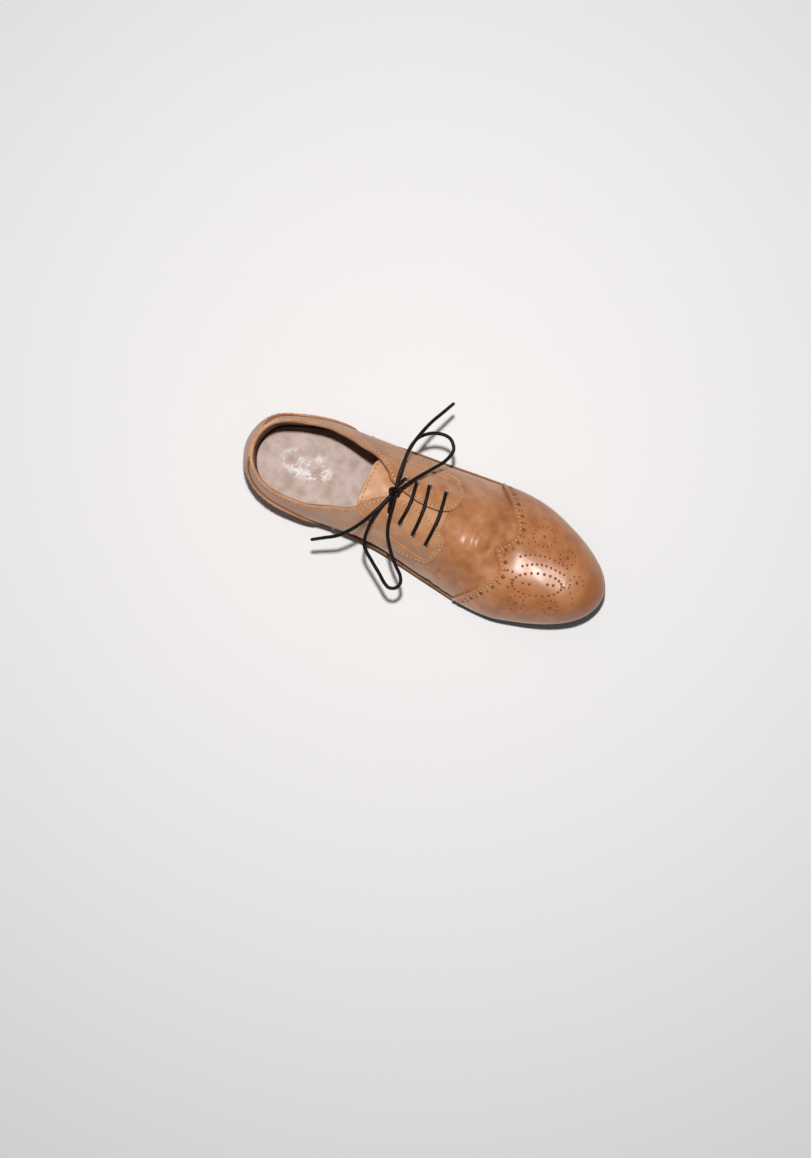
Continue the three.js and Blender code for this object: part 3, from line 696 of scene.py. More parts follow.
@dataclass
class Region:
    """Four-sided region of the skin, each side as places (turn, w).

    Attributes:
        bottom: From the lower back corner to the lower front one.
        right: From the lower front corner to the upper front one.
        top: From the upper back corner to the upper front one.
        left: From the lower back corner to the upper back one.
    """

    bottom: Array
    right: Array
    top: Array
    left: Array

    def __post_init__(self) -> None:
        """Spaces every side evenly over the skin."""
        for key in ("bottom", "right", "top", "left"):
            side = getattr(self, key)
            dense = spread(side, 300)
            setattr(self, key, spread(dense, 400, LAST.skin(dense[:, 0], dense[:, 1])))

    @staticmethod
    def _at(side: Array, share: Array) -> Array:
        """Places along a side."""
        run = np.linspace(0, 1, len(side))
        return np.stack([np.interp(share, run, c) for c in side.T], axis=-1)

    def __call__(self, u: Array, v: Array) -> Array:
        """Places inside the region for u along it and v up it."""
        u, v = np.asarray(u, float), np.asarray(v, float)
        uu, vv = u[..., None], v[..., None]
        a, b = self.bottom[0], self.bottom[-1]
        d, c = self.top[0], self.top[-1]
        return (
            (1 - vv) * self._at(self.bottom, u) + vv * self._at(self.top, u)
            + (1 - uu) * self._at(self.left, v) + uu * self._at(self.right, v)
            - (1 - uu) * (1 - vv) * a - uu * (1 - vv) * b - (1 - uu) * vv * d - uu * vv * c
        )


def line(start: Sequence[float], end: Sequence[float]) -> Array:
    """Straight line of places."""
    return np.linspace(np.array(start, float), np.array(end, float), 40)


def feather(side: float, x0: float, x1: float) -> Array:
    """Places on the feather line."""
    t = np.linspace(LAST.turn_of(x0), LAST.turn_of(x1), 60)
    return np.stack([t, np.full_like(t, side)], axis=1)


def back_place(side: float, height: float) -> list[float]:
    """Place on the heel's back line at a height."""
    w = np.linspace(1, 0, 600)
    z = LAST.skin(0.0, w, worn=False)[:, 2] / MM
    return [0.0, side * float(np.interp(height, z, w))]


def surface_frame(places: Array, depth: float, lift: Lift | None) -> tuple[Array, Array]:
    """Points and outward directions of the skin at places.

    Args:
        places: Rows of turn and w.
        depth: Depth in millimetres.
        lift: The layer's lift.

    Returns:
        The points and the directions.
    """
    t, w = places[:, 0], places[:, 1]
    here = LAST.skin(t, w, depth, lift)
    out = LAST.skin(t, w, depth - 0.6, lift) - LAST.skin(t, w, depth + 0.6, lift)
    return here, out / np.linalg.norm(out, axis=1, keepdims=True)


def offset_places(places: Array, distance: float, toward: Sequence[float]) -> Array:
    """Moves a line of places sideways over the skin.

    Args:
        places: Rows of turn and w.
        distance: In millimetres.
        toward: A place on the side that the line moves to.

    Returns:
        The moved places.
    """
    points, out = surface_frame(places, 0, None)
    along = np.gradient(points, axis=0)
    along /= np.linalg.norm(along, axis=1, keepdims=True)
    across = np.cross(out, along)
    goal = LAST.skin(toward[0], toward[1]).reshape(3)
    middle = len(places) // 2
    if np.dot(across[middle], goal - points[middle]) < 0:
        across = -across
    target = points + across * distance * MM
    moved = places.copy()
    for _ in range(4):
        here = LAST.skin(moved[:, 0], moved[:, 1])
        dt = (LAST.skin(moved[:, 0] + 1e-3, moved[:, 1]) - here) / 1e-3
        dw = (LAST.skin(moved[:, 0], moved[:, 1] + 1e-3) - here) / 1e-3
        for i in range(len(moved)):
            step, *_ = np.linalg.lstsq(np.stack([dt[i], dw[i]], 1), target[i] - here[i], rcond=1e-2)
            moved[i] += np.clip(step, -0.1, 0.1)
        moved[:, 0] = np.clip(moved[:, 0], 0.01, math.pi - 0.01)
        moved[:, 1] = np.clip(moved[:, 1], -0.999, 0.999)
    return moved


def along_line(places: Array, pitch: float, depth: float, lift: Lift | None,
               first: float = 0.0, last: float | None = None) -> list[Frame]:
    """Frames spaced along a line of places, for repeated details.

    Args:
        places: Rows of turn and w.
        pitch: Spacing in millimetres.
        depth: Depth of the surface they stand on.
        lift: The layer's lift.
        first: Where they start, in millimetres along the line.
        last: Where they end, or None for the line's end.

    Returns:
        Centre and axes of each: along the line, across it and outwards.
    """
    dense = spread(places, 600)
    points, out = surface_frame(dense, depth, lift)
    run = length_along(points) / MM
    end = run[-1] - pitch / 2 if last is None else min(last, run[-1])
    frames = []
    for at in np.arange(first + pitch / 2, end, pitch):
        here = np.array([np.interp(at, run, c) for c in points.T])
        ahead = np.array([np.interp(at + 0.4, run, c) for c in points.T])
        behind = np.array([np.interp(at - 0.4, run, c) for c in points.T])
        normal = np.array([np.interp(at, run, c) for c in out.T])
        direction = ahead - behind
        direction = direction / np.linalg.norm(direction)
        normal = normal - direction * np.dot(normal, direction)
        normal = normal / np.linalg.norm(normal)
        frames.append((here, direction, np.cross(normal, direction), normal))
    return frames


# ---------------------------------------------------------------- finishes


def linear(hex_colour: str) -> tuple[float, float, float, float]:
    """Linear colour from an sRGB hex string."""
    values = [int(hex_colour[i : i + 2], 16) / 255 for i in (1, 3, 5)]
    return (*(v / 12.92 if v <= 0.04045 else ((v + 0.055) / 1.055) ** 2.4 for v in values), 1.0)


class Nodes:
    """Adds shader nodes to one material."""

    def __init__(self, name: str) -> None:
        """Starts a material that holds only its output and surface shader."""
        self.material = bpy.data.materials.new(name)
        self.material.use_nodes = True
        self.tree = self.material.node_tree
        self.shader = self.tree.nodes["Principled BSDF"]

    def put(self, socket: bpy.types.NodeSocket, value: object) -> None:
        """Links an input to another socket, or sets its value.

        Args:
            socket: The input.
            value: A socket or a value.
        """
        if isinstance(value, bpy.types.NodeSocket):
            self.tree.links.new(value, socket)
        else:
            socket.default_value = value

    def add(self, kind: str, output: str | int, values: dict | Sequence = (),
            stops: Sequence[tuple[float, str]] = (), **settings: object) -> bpy.types.NodeSocket:
        """Adds a node with its settings and links.

        Args:
            kind: Node type without its ShaderNode prefix.
            output: Which output is wanted.
            values: Input values or the sockets to link to them, by name or number, or a row
                of them for the first inputs.
            stops: Position and sRGB hex of each stop, for a colour ramp.
            settings: Properties of the node.

        Returns:
            The output.
        """
        node = self.tree.nodes.new("ShaderNode" + kind)
        for key, value in settings.items():
            setattr(node, key, value)
        for key, value in (values if isinstance(values, dict) else dict(enumerate(values))).items():
            self.put(node.inputs[key], value)
        for i, (at, colour) in enumerate(stops):
            points = node.color_ramp.elements
            point = points[i] if i < len(points) else points.new(at)
            point.position, point.color = at, linear(colour)
        return node.outputs[output]

    def surface(self, **values: object) -> None:
        """Sets or links inputs of the surface shader; _ in a name is a space."""
        for key, value in values.items():
            self.put(self.shader.inputs[key.replace("_", " ")], value)


@dataclass(frozen=True)
class CalfLeather:
    """Burnished calf: pale where it is handled, darker in random patches, with a soft polish.

    Attributes:
        name: What the finish is called.
        dark: Colour of the burnished parts.
        base: Colour of most of it.
        pale: Colour of the rubbed parts.
        gloss: Roughness of the surface.
        polish: Weight of the wax coat.
        burnish: x where the toe's burnish starts and is full, in millimetres.
    """

    name: str
    dark: str
    base: str
    pale: str
    gloss: float = 0.42
    polish: float = 0.25
    burnish: tuple[float, float] | None = None

    def make(self) -> bpy.types.Material:
        """Makes the material."""
        n = Nodes(self.name)
        at = n.add("TexCoord", "Object")
        # dye that took unevenly: clouds of 34 mm and blotches of 9 mm
        cloud = n.add("TexNoise", "Fac", {"Vector": at, "Scale": 1 / (34 * MM), "Detail": 3,
                                          "Roughness": 0.55})
        blotch = n.add("TexNoise", "Fac", {"Vector": at, "Scale": 1 / (9 * MM), "Detail": 4,
                                           "Roughness": 0.6})
        mixed = n.add("Math", 0, (n.add("Math", 0, (cloud, 0.62), operation="MULTIPLY"),
                                  n.add("Math", 0, (blotch, 0.38), operation="MULTIPLY")),
                      operation="ADD")
        colour = n.add("ValToRGB", "Color", {"Fac": mixed},
                       ((0.34, self.dark), (0.5, self.base), (0.66, self.pale)))
        if self.burnish:
            x = n.add("SeparateXYZ", "X", (at,))
            low, high = ((b + HEEL_BACK[0]) * MM for b in self.burnish)
            toe = n.add("MapRange", "Result", (x, low, high, 0, 0.8))
            colour = n.add("Mix", 2, {0: toe, 6: colour, 7: linear(self.dark)}, data_type="RGBA")
        # scuffs leave fine pale scratches, drawn out across the shoe
        drawn = n.add("Mapping", "Vector", {"Vector": at, "Scale": (1, 0.16, 0.4)})
        scratch = n.add("TexNoise", "Fac", {"Vector": drawn, "Scale": 1 / (1.6 * MM), "Detail": 5,
                                            "Roughness": 0.7})
        scuffed = n.add("MapRange", "Result", (scratch, 0.62, 0.75, 0, 0.25))
        colour = n.add("Mix", 2, {0: scuffed, 6: colour, 7: linear(self.pale)}, data_type="RGBA")
        # the grain's pores are about 0.7 mm apart, on creases of about 2.6 mm
        pores = n.add("TexVoronoi", "Distance", {"Vector": at, "Scale": 1 / (0.7 * MM)},
                      feature="F1")
        fine = n.add("Bump", "Normal", {"Height": pores, "Distance": 0.035 * MM, "Strength": 0.5})
        grain = n.add("TexNoise", "Fac", {"Vector": at, "Scale": 1 / (2.6 * MM), "Detail": 5,
                                          "Roughness": 0.62})
        coarse = n.add("Bump", "Normal", {"Height": grain, "Distance": 0.17 * MM, "Strength": 0.7,
                                          "Normal": fine})
        rough = n.add("MapRange", "Result",
                      (blotch, 0.3, 0.7, self.gloss - 0.06, self.gloss + 0.1))
        n.surface(Base_Color=colour, Roughness=rough, Normal=coarse, Coat_Weight=self.polish,
                  Coat_Roughness=0.3, Specular_IOR_Level=0.28)
        return n.material


@dataclass(frozen=True)
class PlainLeather:
    """Unpolished leather or board: one colour with worn, duller and dirtier patches.

    Attributes:
        name: What the finish is called.
        dark: Colour of the soiled parts.
        pale: Colour of the clean parts.
        rough: Roughness.
        grain: Size of the grain in millimetres.
        depth: Depth of the grain in millimetres.
        layered: Whether an edge shows its layers.
    """

    name: str
    dark: str
    pale: str
    rough: float = 0.7
    grain: float = 0.9
    depth: float = 0.05
    layered: bool = False

    def make(self) -> bpy.types.Material:
        """Makes the material."""
        n = Nodes(self.name)
        at = n.add("TexCoord", "Object")
        # dirt and wear in patches of about 14 mm
        patch = n.add("TexNoise", "Fac", {"Vector": at, "Scale": 1 / (14 * MM), "Detail": 5,
                                          "Roughness": 0.62})
        colour = n.add("ValToRGB", "Color", {"Fac": patch}, ((0.36, self.dark), (0.62, self.pale)))
        grain = n.add("TexNoise", "Fac", {"Vector": at, "Scale": 1 / (self.grain * MM), "Detail": 4,
                                          "Roughness": 0.65})
        normal = n.add("Bump", "Normal", {"Height": grain, "Distance": self.depth * MM,
                                          "Strength": 0.8})
        if self.layered:
            # a cut edge shows level layers of about 1 mm
            level = n.add("Mapping", "Vector", {"Vector": at, "Scale": (0.06, 0.06, 1.0)})
            bands = n.add("TexNoise", "Fac", {"Vector": level, "Scale": 1 / (1.1 * MM), "Detail": 3,
                                              "Roughness": 0.6})
            share = n.add("MapRange", "Result", (bands, 0.4, 0.62, 0, 0.5))
            colour = n.add("Mix", 2, {0: share, 6: colour, 7: linear(self.dark)}, data_type="RGBA")
            normal = n.add("Bump", "Normal", {"Height": bands, "Distance": 0.12 * MM,
                                              "Strength": 0.7, "Normal": normal})
        rough = n.add("MapRange", "Result",
                      (patch, 0.3, 0.7, self.rough + 0.08, self.rough - 0.08))
        n.surface(Base_Color=colour, Roughness=rough, Normal=normal, Specular_IOR_Level=0.3)
        return n.material


@dataclass(frozen=True)
class FoilSock:
    """Sock leather with a worn patch of silver foil at the heel.

    Attributes:
        name: What the finish is called.
        leather: Colour of the leather.
        soiled: Colour of the dirt.
        foil: Colour of the foil.
        centre: Middle of the patch in x and y, in millimetres.
        size: Half length and half width of the patch.
    """

    name: str = "sock_with_worn_foil"
    leather: str = "#cfb8ad"
    soiled: str = "#b29889"
    foil: str = "#c4bfbd"
    centre: tuple[float, float] = (45.0, 1.5)
    size: tuple[float, float] = (21.0, 11.5)

    def make(self) -> bpy.types.Material:
        """Makes the material."""
        n = Nodes(self.name)
        at = n.add("TexCoord", "Object")
        patch = n.add("TexNoise", "Fac", {"Vector": at, "Scale": 1 / (11 * MM), "Detail": 5,
                                          "Roughness": 0.6})
        colour = n.add("ValToRGB", "Color", {"Fac": patch},
                       ((0.36, self.soiled), (0.62, self.leather)))
        # distance from the patch's middle, squared, as a share of its half sizes
        parts = []
        for axis, middle, half, shift in (("X", self.centre[0], self.size[0], HEEL_BACK[0]),
                                          ("Y", self.centre[1], self.size[1], HEEL_BACK[1])):
            away = n.add("Math", 0, (n.add("SeparateXYZ", axis, (at,)), (middle + shift) * MM),
                         operation="SUBTRACT")
            share = n.add("Math", 0, (away, half * MM), operation="DIVIDE")
            parts.append(n.add("Math", 0, (share, 2.0), operation="POWER"))
        edge = n.add("Math", 0, parts, operation="ADD")
        # what is left of the foil is flakes of 9 mm with ragged edges of 1.5 mm
        flakes = n.add("TexNoise", "Fac", {"Vector": at, "Scale": 1 / (9 * MM), "Detail": 2,
                                           "Roughness": 0.5})
        ragged = n.add("TexNoise", "Fac", {"Vector": at, "Scale": 1 / (1.5 * MM), "Detail": 6,
                                           "Roughness": 0.75})
        wear = n.add("Math", 0, (flakes, ragged), operation="ADD")
        foil = n.add("Math", 0, (n.add("MapRange", "Result", (edge, 0.55, 1.15, 1, 0)),
                                 n.add("MapRange", "Result", (wear, 1.02, 1.1, 0, 1))),
                     operation="MULTIPLY")
        grain = n.add("TexNoise", "Fac", {"Vector": at, "Scale": 1 / (0.8 * MM), "Detail": 4,
                                          "Roughness": 0.5})
        n.surface(
            Base_Color=n.add("Mix", 2, {0: foil, 6: colour, 7: linear(self.foil)},
                             data_type="RGBA"),
            Metallic=n.add("MapRange", "Result", (foil, 0, 1, 0, 0.35)),
            Roughness=n.add("MapRange", "Result", (foil, 0, 1, 0.6, 0.56)),
            Normal=n.add("Bump", "Normal", {"Height": grain, "Distance": 0.05 * MM,
                                            "Strength": 0.6}),
        )
        return n.material


@dataclass(frozen=True)
class WaxedCotton:
    """Round waxed lace: near black, with a tight braid and a sheen painted on its strands.

    Attributes:
        name: What the finish is called.
        colour: Colour of the wax.
        sheen: Colour of the painted sheen on the strands.
        braid: Size of one strand in millimetres.
    """

    name: str = "waxed_black_cotton"
    colour: str = "#050404"
    sheen: str = "#171312"
    braid: float = 0.45

    def make(self) -> bpy.types.Material:
        """Makes the material."""
        n = Nodes(self.name)
        strands = n.add("TexVoronoi", "Distance", {
            "Vector": n.add("TexCoord", "Object"), "Scale": 1 / (self.braid * MM),
        }, feature="SMOOTH_F1")
        # painted sheen: the colour lightens towards the middle of each strand
        shine = n.add("MapRange", "Result", (strands, 0.1, 0.8, 0.7, 0))
        n.surface(
            Base_Color=n.add("Mix", 2, {0: shine, 6: linear(self.colour), 7: linear(self.sheen)},
                             data_type="RGBA"),
            Normal=n.add("Bump", "Normal", {"Height": strands, "Distance": 0.14 * MM,
                                            "Strength": 0.9}),
            Roughness=0.5, Specular_IOR_Level=0.28,
        )
        return n.material


@dataclass(frozen=True)
class Moulded:
    """Moulded rubber or film: one colour, lightly worn.

    Attributes:
        name: What the finish is called.
        colour: Colour.
        worn: Colour of the rubbed parts.
        rough: Roughness.
        metal: Metallic share.
    """

    name: str
    colour: str
    worn: str
    rough: float = 0.6
    metal: float = 0.0

    def make(self) -> bpy.types.Material:
        """Makes the material."""
        n = Nodes(self.name)
        at = n.add("TexCoord", "Object")
        # rubbed patches of about 5 mm, over a fine moulded texture
        wear = n.add("TexNoise", "Fac", {"Vector": at, "Scale": 1 / (5 * MM), "Detail": 5,
                                         "Roughness": 0.65})
        texture = n.add("TexNoise", "Fac", {"Vector": at, "Scale": 1 / (0.7 * MM), "Detail": 3,
                                            "Roughness": 0.5})
        n.surface(
            Base_Color=n.add("ValToRGB", "Color", {"Fac": wear},
                             ((0.4, self.colour), (0.7, self.worn))),
            Roughness=n.add("MapRange", "Result",
                            (wear, 0.3, 0.7, self.rough - 0.05, self.rough + 0.1)),
            Normal=n.add("Bump", "Normal", {"Height": texture, "Distance": 0.03 * MM,
                                            "Strength": 0.7}),
            Metallic=self.metal,
        )
        return n.material


@dataclass
class Finishes:
    """Every finish of the shoe; made holds the materials by name."""

    # calf, dyed and waxed: the cap is the darkest and most polished, and darkens at the toe
    cap: CalfLeather = CalfLeather("calf_cap_chestnut", "#9c5d33", "#bd7c4f", "#cf9468", 0.34, 0.42,
                                   (240, 276))
    vamp: CalfLeather = CalfLeather("calf_vamp_tan", "#a3643c", "#be8155", "#d29e75", 0.38, 0.26)
    # the quarters are paler and drier
    quarter: CalfLeather = CalfLeather("calf_quarter_tan", "#b07247", "#ca8f63", "#d9a67d", 0.42, 0.07)
    counter: CalfLeather = CalfLeather("calf_counter_chestnut", "#a56640", "#c0835a", "#d09a70", 0.4, 0.25)
    tongue: CalfLeather = CalfLeather("calf_tongue_pale", "#bf865c", "#d19c72", "#deb08a", 0.48, 0.12)
    made: dict[str, bpy.types.Material] = field(default_factory=dict)

    def make(self) -> None:
        """Makes all materials once."""
        for finish in (
            self.cap, self.vamp, self.quarter, self.counter, self.tongue,
            # glazed lining leather, soiled by the foot
            PlainLeather("lining_glazed_beige", "#7d5a48", "#a98672", 0.55, 0.7, 0.03),
            # bark-tanned shoulder, plain and dull
            PlainLeather("insole_veg_tan", "#8f6a48", "#b08a62"),
            # pressed fibre board, pale and coarse
            PlainLeather("stiffener_board_pale", "#b3a588", "#cdbfa4", 0.85, 1.2, 0.08),
            # ground cork in glue, with granules that show
            PlainLeather("cork_granules", "#5e3f22", "#94693e", 0.9, 1.8, 0.3),
            # cut edges of sole leather: dull, with the layers showing
            PlainLeather("welt_edge_tan", "#7c5537", "#a37a56", 0.62, 0.8, 0.06, True),
            PlainLeather("midsole_edge_red_tan", "#6a3c26", "#9a6645", 0.6, 0.9, 0.07, True),
            PlainLeather("heel_lift_red_tan", "#74412c", "#a66e50", 0.62, 1.0, 0.1, True),
            FoilSock(), WaxedCotton(),
            # moulded rubber: near black and matt, greyer where it is worn
            Moulded("sole_rubber_dark", "#221915", "#3c302a", 0.66),
            Moulded("heel_tip_rubber_grey", "#3c3433", "#595150", 0.7),
            # shrunk acetate film, smooth enough to catch the light
            Moulded("aglet_film_black", "#141212", "#2c2827", 0.24),
            # nickel-plated brass, handled until dull
            Moulded("eyelet_nickel_dull", "#9d978f", "#c9c4bb", 0.34, 0.9),
            # spring steel, ground bright
            Moulded("shank_steel_bright", "#8d9095", "#a4a7ab", 0.35, 0.95),
            # waxed thread, pale on the upper and browner on the welt
            Moulded("thread_tan_waxed", "#cda37a", "#e6c6a2", 0.6),
            Moulded("thread_welt_brown", "#85603f", "#a9825c", 0.7),
            # the shade in a punched hole, never black because light gets in
            Moulded("punch_hole_shade", "#74452a", "#9c6440", 0.9),
        ):
            self.made[finish.name] = finish.make()

    def __getitem__(self, name: str) -> bpy.types.Material:
        """The material of that name."""
        return self.made[name]


# ---------------------------------------------------------------- lacing


def eased_line(points: Array, pieces: int = 10) -> Array:
    """Smooth line through points that doesn't swing wide of sharp turns.

    Args:
        points: Rows of x, y and z.
        pieces: Steps between one point and the next.

    Returns:
        The line's points.
    """
    padded = np.vstack([2 * points[0] - points[1], points, 2 * points[-1] - points[-2]])
    rows = []
    for i in range(len(points) - 1):
        p = padded[i : i + 4]
        at = np.concatenate([[0], np.cumsum(np.linalg.norm(np.diff(p, axis=0), axis=1) ** 0.5)])
        for t in np.linspace(at[1], at[2], pieces, endpoint=False):
            level = list(p)
            for spans in (((0, 1), (1, 2), (2, 3)), ((0, 2), (1, 3)), ((1, 2),)):
                level = [
                    ((at[b] - t) * level[k] + (t - at[a]) * level[k + 1]) / (at[b] - at[a])
                    for k, (a, b) in enumerate(spans)
                ]
            rows.append(level[0])
    return np.array(rows + [points[-1]])


def rounded(points: Array, cut: float, pieces: int = 6) -> Array:
    """Line with its corners rounded.

    Args:
        points: Rows of x, y and z in metres.
        cut: How far from each corner the rounding starts, in millimetres.
        pieces: Steps of each corner.

    Returns:
        The rounded line.
    """
    rows = [points[0]]
    for before, here, after in zip(points, points[1:], points[2:]):
        back, ahead = before - here, after - here
        lb, la = np.linalg.norm(back), np.linalg.norm(ahead)
        start = here + back / lb * min(cut * MM, lb * 0.48)
        end = here + ahead / la * min(cut * MM, la * 0.48)
        for t in np.linspace(0, 1, pieces + 1):
            rows.append((1 - t) ** 2 * start + 2 * t * (1 - t) * here + t * t * end)
    return np.array(rows + [points[-1]])


@dataclass
class Lacing:
    """Four pairs of eyelets laced with straight bars and a bow on top.

    Attributes:
        radius: Radius of the lace.
        facing: Thickness of a facing with its lining.
        clearance: Room between pieces.
        eyelet_radius: Bore of an eyelet.
        eyelet_wall: Width of an eyelet's rim.
        aglet: Length of a tip.
        knot_size: Half sizes of the knot.
        knot_at: Where the knot sits, seen from above.
        bar_bow: How far the bars bow towards the toe.
    """

    radius: float = 1.25
    facing: float = 2.6
    clearance: float = 0.3
    eyelet_radius: float = 1.7
    eyelet_wall: float = 0.7
    aglet: float = 11.0
    knot_size: tuple[float, float, float] = (4.4, 3.8, 3.5)
    knot_at: tuple[float, float] = (112.4, 6.6)
    bar_bow: float = 1.6
    eyelets: dict[float, Points] = field(default_factory=lambda: {
        1.0: [(144.8, 21.8), (132.3, 21), (123.5, 19.1), (115.7, 18.4)],
        -1.0: [(146.3, -16.8), (135.4, -14), (124, -10.9), (114.5, -7)],
    })
    loops: dict[str, Points] = field(default_factory=lambda: {
        "lateral": [
            (112.2, 11, 98.5), (111.2, 21.6, 97.5), (109.7, 37.7, 92), (112.4, 48.3, 87),
            (121.5, 56, 82.5), (131.9, 57, 80), (137.5, 51, 80.3), (135.8, 41.9, 83),
            (128, 30, 88.5), (121.3, 20.4, 93.5), (115.8, 11, 98.3),
        ],
        "medial": [
            (111, 2.2, 98.5), (107.5, -9.5, 97), (106, -23.5, 92), (108.2, -34.7, 87.5),
            (117.2, -42.4, 84), (125.6, -48.4, 81.3), (131, -52.6, 79.4), (135.4, -54.4, 78.5),
            (139.6, -52.8, 78.3), (141.3, -48.4, 79.3), (139.2, -43.8, 80.9), (133.3, -38.4, 83.3),
            (126.2, -30.8, 86.4), (118.6, -18.6, 91.5), (114.7, 2.2, 98.3),
        ],
    })
    ends: dict[str, Points] = field(default_factory=lambda: {
        "lateral": [
            (112.3, 9.9, 101.4), (110.5, 23.1, 103), (110.5, 39.9, 99), (115.2, 58.8, 90.5),
            (121, 72.4, 80.5),
        ],
        "medial": [
            (111.3, 3.3, 101.4), (106.2, -10, 101.5), (99.3, -23.5, 96.5), (89.5, -35.4, 89),
            (80.4, -41.2, 81.5),
        ],
    })

    def make_cords(self, finishes: Finishes) -> None:
        """Makes the bow's free loops and ends, with their tips."""
        wax = finishes["waxed_black_cotton"]
        for name in SIDES:
            path = eased_line(row_frame(self.loops[name]))
            loop = tube(f"bow_loop_{name}", path, self.radius, keep_curve=True)
            dress(loop, wax, Slot.LACE, Body.SHOE, f"lace_loop_{name}")
            path = eased_line(row_frame(self.ends[name]))
            tip = self.make_tip(name, path, finishes)
            end = tube(f"bow_end_{name}", path, self.radius, keep_curve=True)
            dress(end, wax, Slot.LACE, Body.SHOE, f"lace_end_{name}")

    def make_tip(self, name: str, path: Array, finishes: Finishes) -> bpy.types.Object:
        """Makes a lace tip with a crimped sleeve that carries on from a path's end."""
        ahead = path[-1] - path[-2]
        ahead /= np.linalg.norm(ahead)
        shares = np.array([-0.02, 0, 0.02, 0.08, 0.1, 0.12, 0.5, 0.86, 0.95, 0.985, 1])
        taper = np.array([0.9, 1, 1.02, 1.02, 0.96, 0.99, 0.97, 0.96, 0.9, 0.75, 0.5])
        spots = path[-1] + ahead * (0.3 + self.aglet * shares[:, None]) * MM
        tip = tube(f"lace_tip_{name}", spots, self.radius, taper)
        return dress(tip, finishes["aglet_film_black"], Slot.FILM, Body.SHOE, f"aglet_{name}")

    def on_facing(self, x: float, y: float) -> tuple[Array, Array]:
        """Point on the facing's outer face and its outward direction."""
        place = LAST.from_plan([(x, y)], LAST.facing_lift)
        here, out = surface_frame(place, 0, LAST.facing_lift)
        return here[0], out[0]

    def _off(self, spot: tuple[Array, Array], distance: float) -> Array:
        """Point off the facing's outer face by millimetres."""
        return spot[0] + spot[1] * distance * MM

    def threaded(self) -> Array:
        """The lace as it is threaded from one side of the knot to the other."""
        over, under = self.clearance + self.radius, -self.facing - self.clearance - self.radius
        aside = 2 * self.radius + self.clearance
        centre = self.knot_centre()

        def eyelet(side: float, pair: int) -> tuple[Array, Array]:
            """An eyelet's place on the facing."""
            return self.on_facing(*self.eyelets[side][pair - 1])

        def down(side: float, pair: int) -> list[Array]:
            """Points above and below an eyelet."""
            return [self._off(eyelet(side, pair), over), self._off(eyelet(side, pair), under)]

        def bar(side: float, pair: int) -> list[Array]:
            """Points of a bar that crosses the tongue."""
            (x0, y0), (x1, y1) = self.eyelets[side][pair - 1], self.eyelets[-side][pair - 1]
            spots = [(x0 + (x1 - x0) * t + self.bar_bow * np.sin(np.pi * t), y0 + (y1 - y0) * t)
                     for t in np.arange(1, 7) / 7]
            return [self._off(self.on_facing(x, y), over) for x, y in spots]

        def below(side: float, pairs: Sequence[int], shift: float) -> list[Array]:
            """Points under the facing."""
            spots = [self.eyelets[side][pair - 1] for pair in pairs]
            return [self._off(self.on_facing(x, y + shift), under) for x, y in spots]

        def knot_side(side: float) -> Array:
            """Where the lace enters the knot."""
            return centre + np.array([0, side * (self.knot_size[1] + 0.6), -2.0]) * MM

        def to_knot(side: float) -> Array:
            """Point halfway to the knot."""
            x, y = self.eyelets[side][3]
            end = knot_side(side) / MM - np.array([*HEEL_BACK, 0])
            return self._off(self.on_facing((x + end[0]) / 2, (y + end[1]) / 2), over)

        return np.array([
            knot_side(1), to_knot(1), *down(1, 4), *down(1, 3)[::-1], *bar(1, 3), *down(-1, 3),
            *below(-1, [2], -aside), *down(-1, 1)[::-1], *bar(-1, 1), *down(1, 1), *down(1, 2)[::-1],
            *bar(1, 2), *down(-1, 2), *below(-1, [3], aside), *down(-1, 4)[::-1], to_knot(-1),
            knot_side(-1),
        ])

    def knot_centre(self) -> Array:
        """Middle of the knot."""
        here, _ = self.on_facing(*self.knot_at)
        return here + np.array([0, 0, self.knot_size[2] + 0.6]) * MM

    def make_run(self, finishes: Finishes) -> None:
        """Makes the threaded lace and the knot's turns."""
        run = tube("lace_through_eyelets", rounded(self.threaded(), 2.3), self.radius)
        dress(run, finishes["waxed_black_cotton"], Slot.LACE, Body.SHOE, "lace_run")
        t = np.linspace(0, 2 * math.pi, 97)
        turns = np.stack([
            (2 + np.cos(3 * t)) * np.cos(2 * t + 0.5) / 3, (2 + np.cos(3 * t)) * np.sin(2 * t + 0.5) / 3,
            np.sin(3 * t),
        ], axis=1)
        size = np.array(self.knot_size) - self.radius
        knot = tube("bow_knot", self.knot_centre() + turns * size * MM, self.radius * 0.98)
        strands = [points[k] for points in self.loops.values() for k in (0, -1)]
        strands += [points[0] for points in self.ends.values()]
        for strand, start in enumerate(row_frame(strands)):
            inner = start + (self.knot_centre() - start) * np.array([0.3, 0.75, 0.75])
            bridge = tube(f"bow_strand_{strand}", np.linspace(start, inner, 5), self.radius * 0.99)
            knot = join([knot, bridge])
        dress(knot, finishes["waxed_black_cotton"], Slot.LACE, Body.SHOE, "lace_knot")

    def make_eyelets(self, finishes: Finishes) -> None:
        """Makes the rolled metal eyelets."""
        for name, side in SIDES.items():
            for pair, (x, y) in enumerate(self.eyelets[side], 1):
                ring = self._ring(f"eyelet_ring_{name}_{pair}", self.on_facing(x, y))
                dress(ring, finishes["eyelet_nickel_dull"], Slot.EYELET, Body.SHOE, f"eyelet_{name}_{pair}")

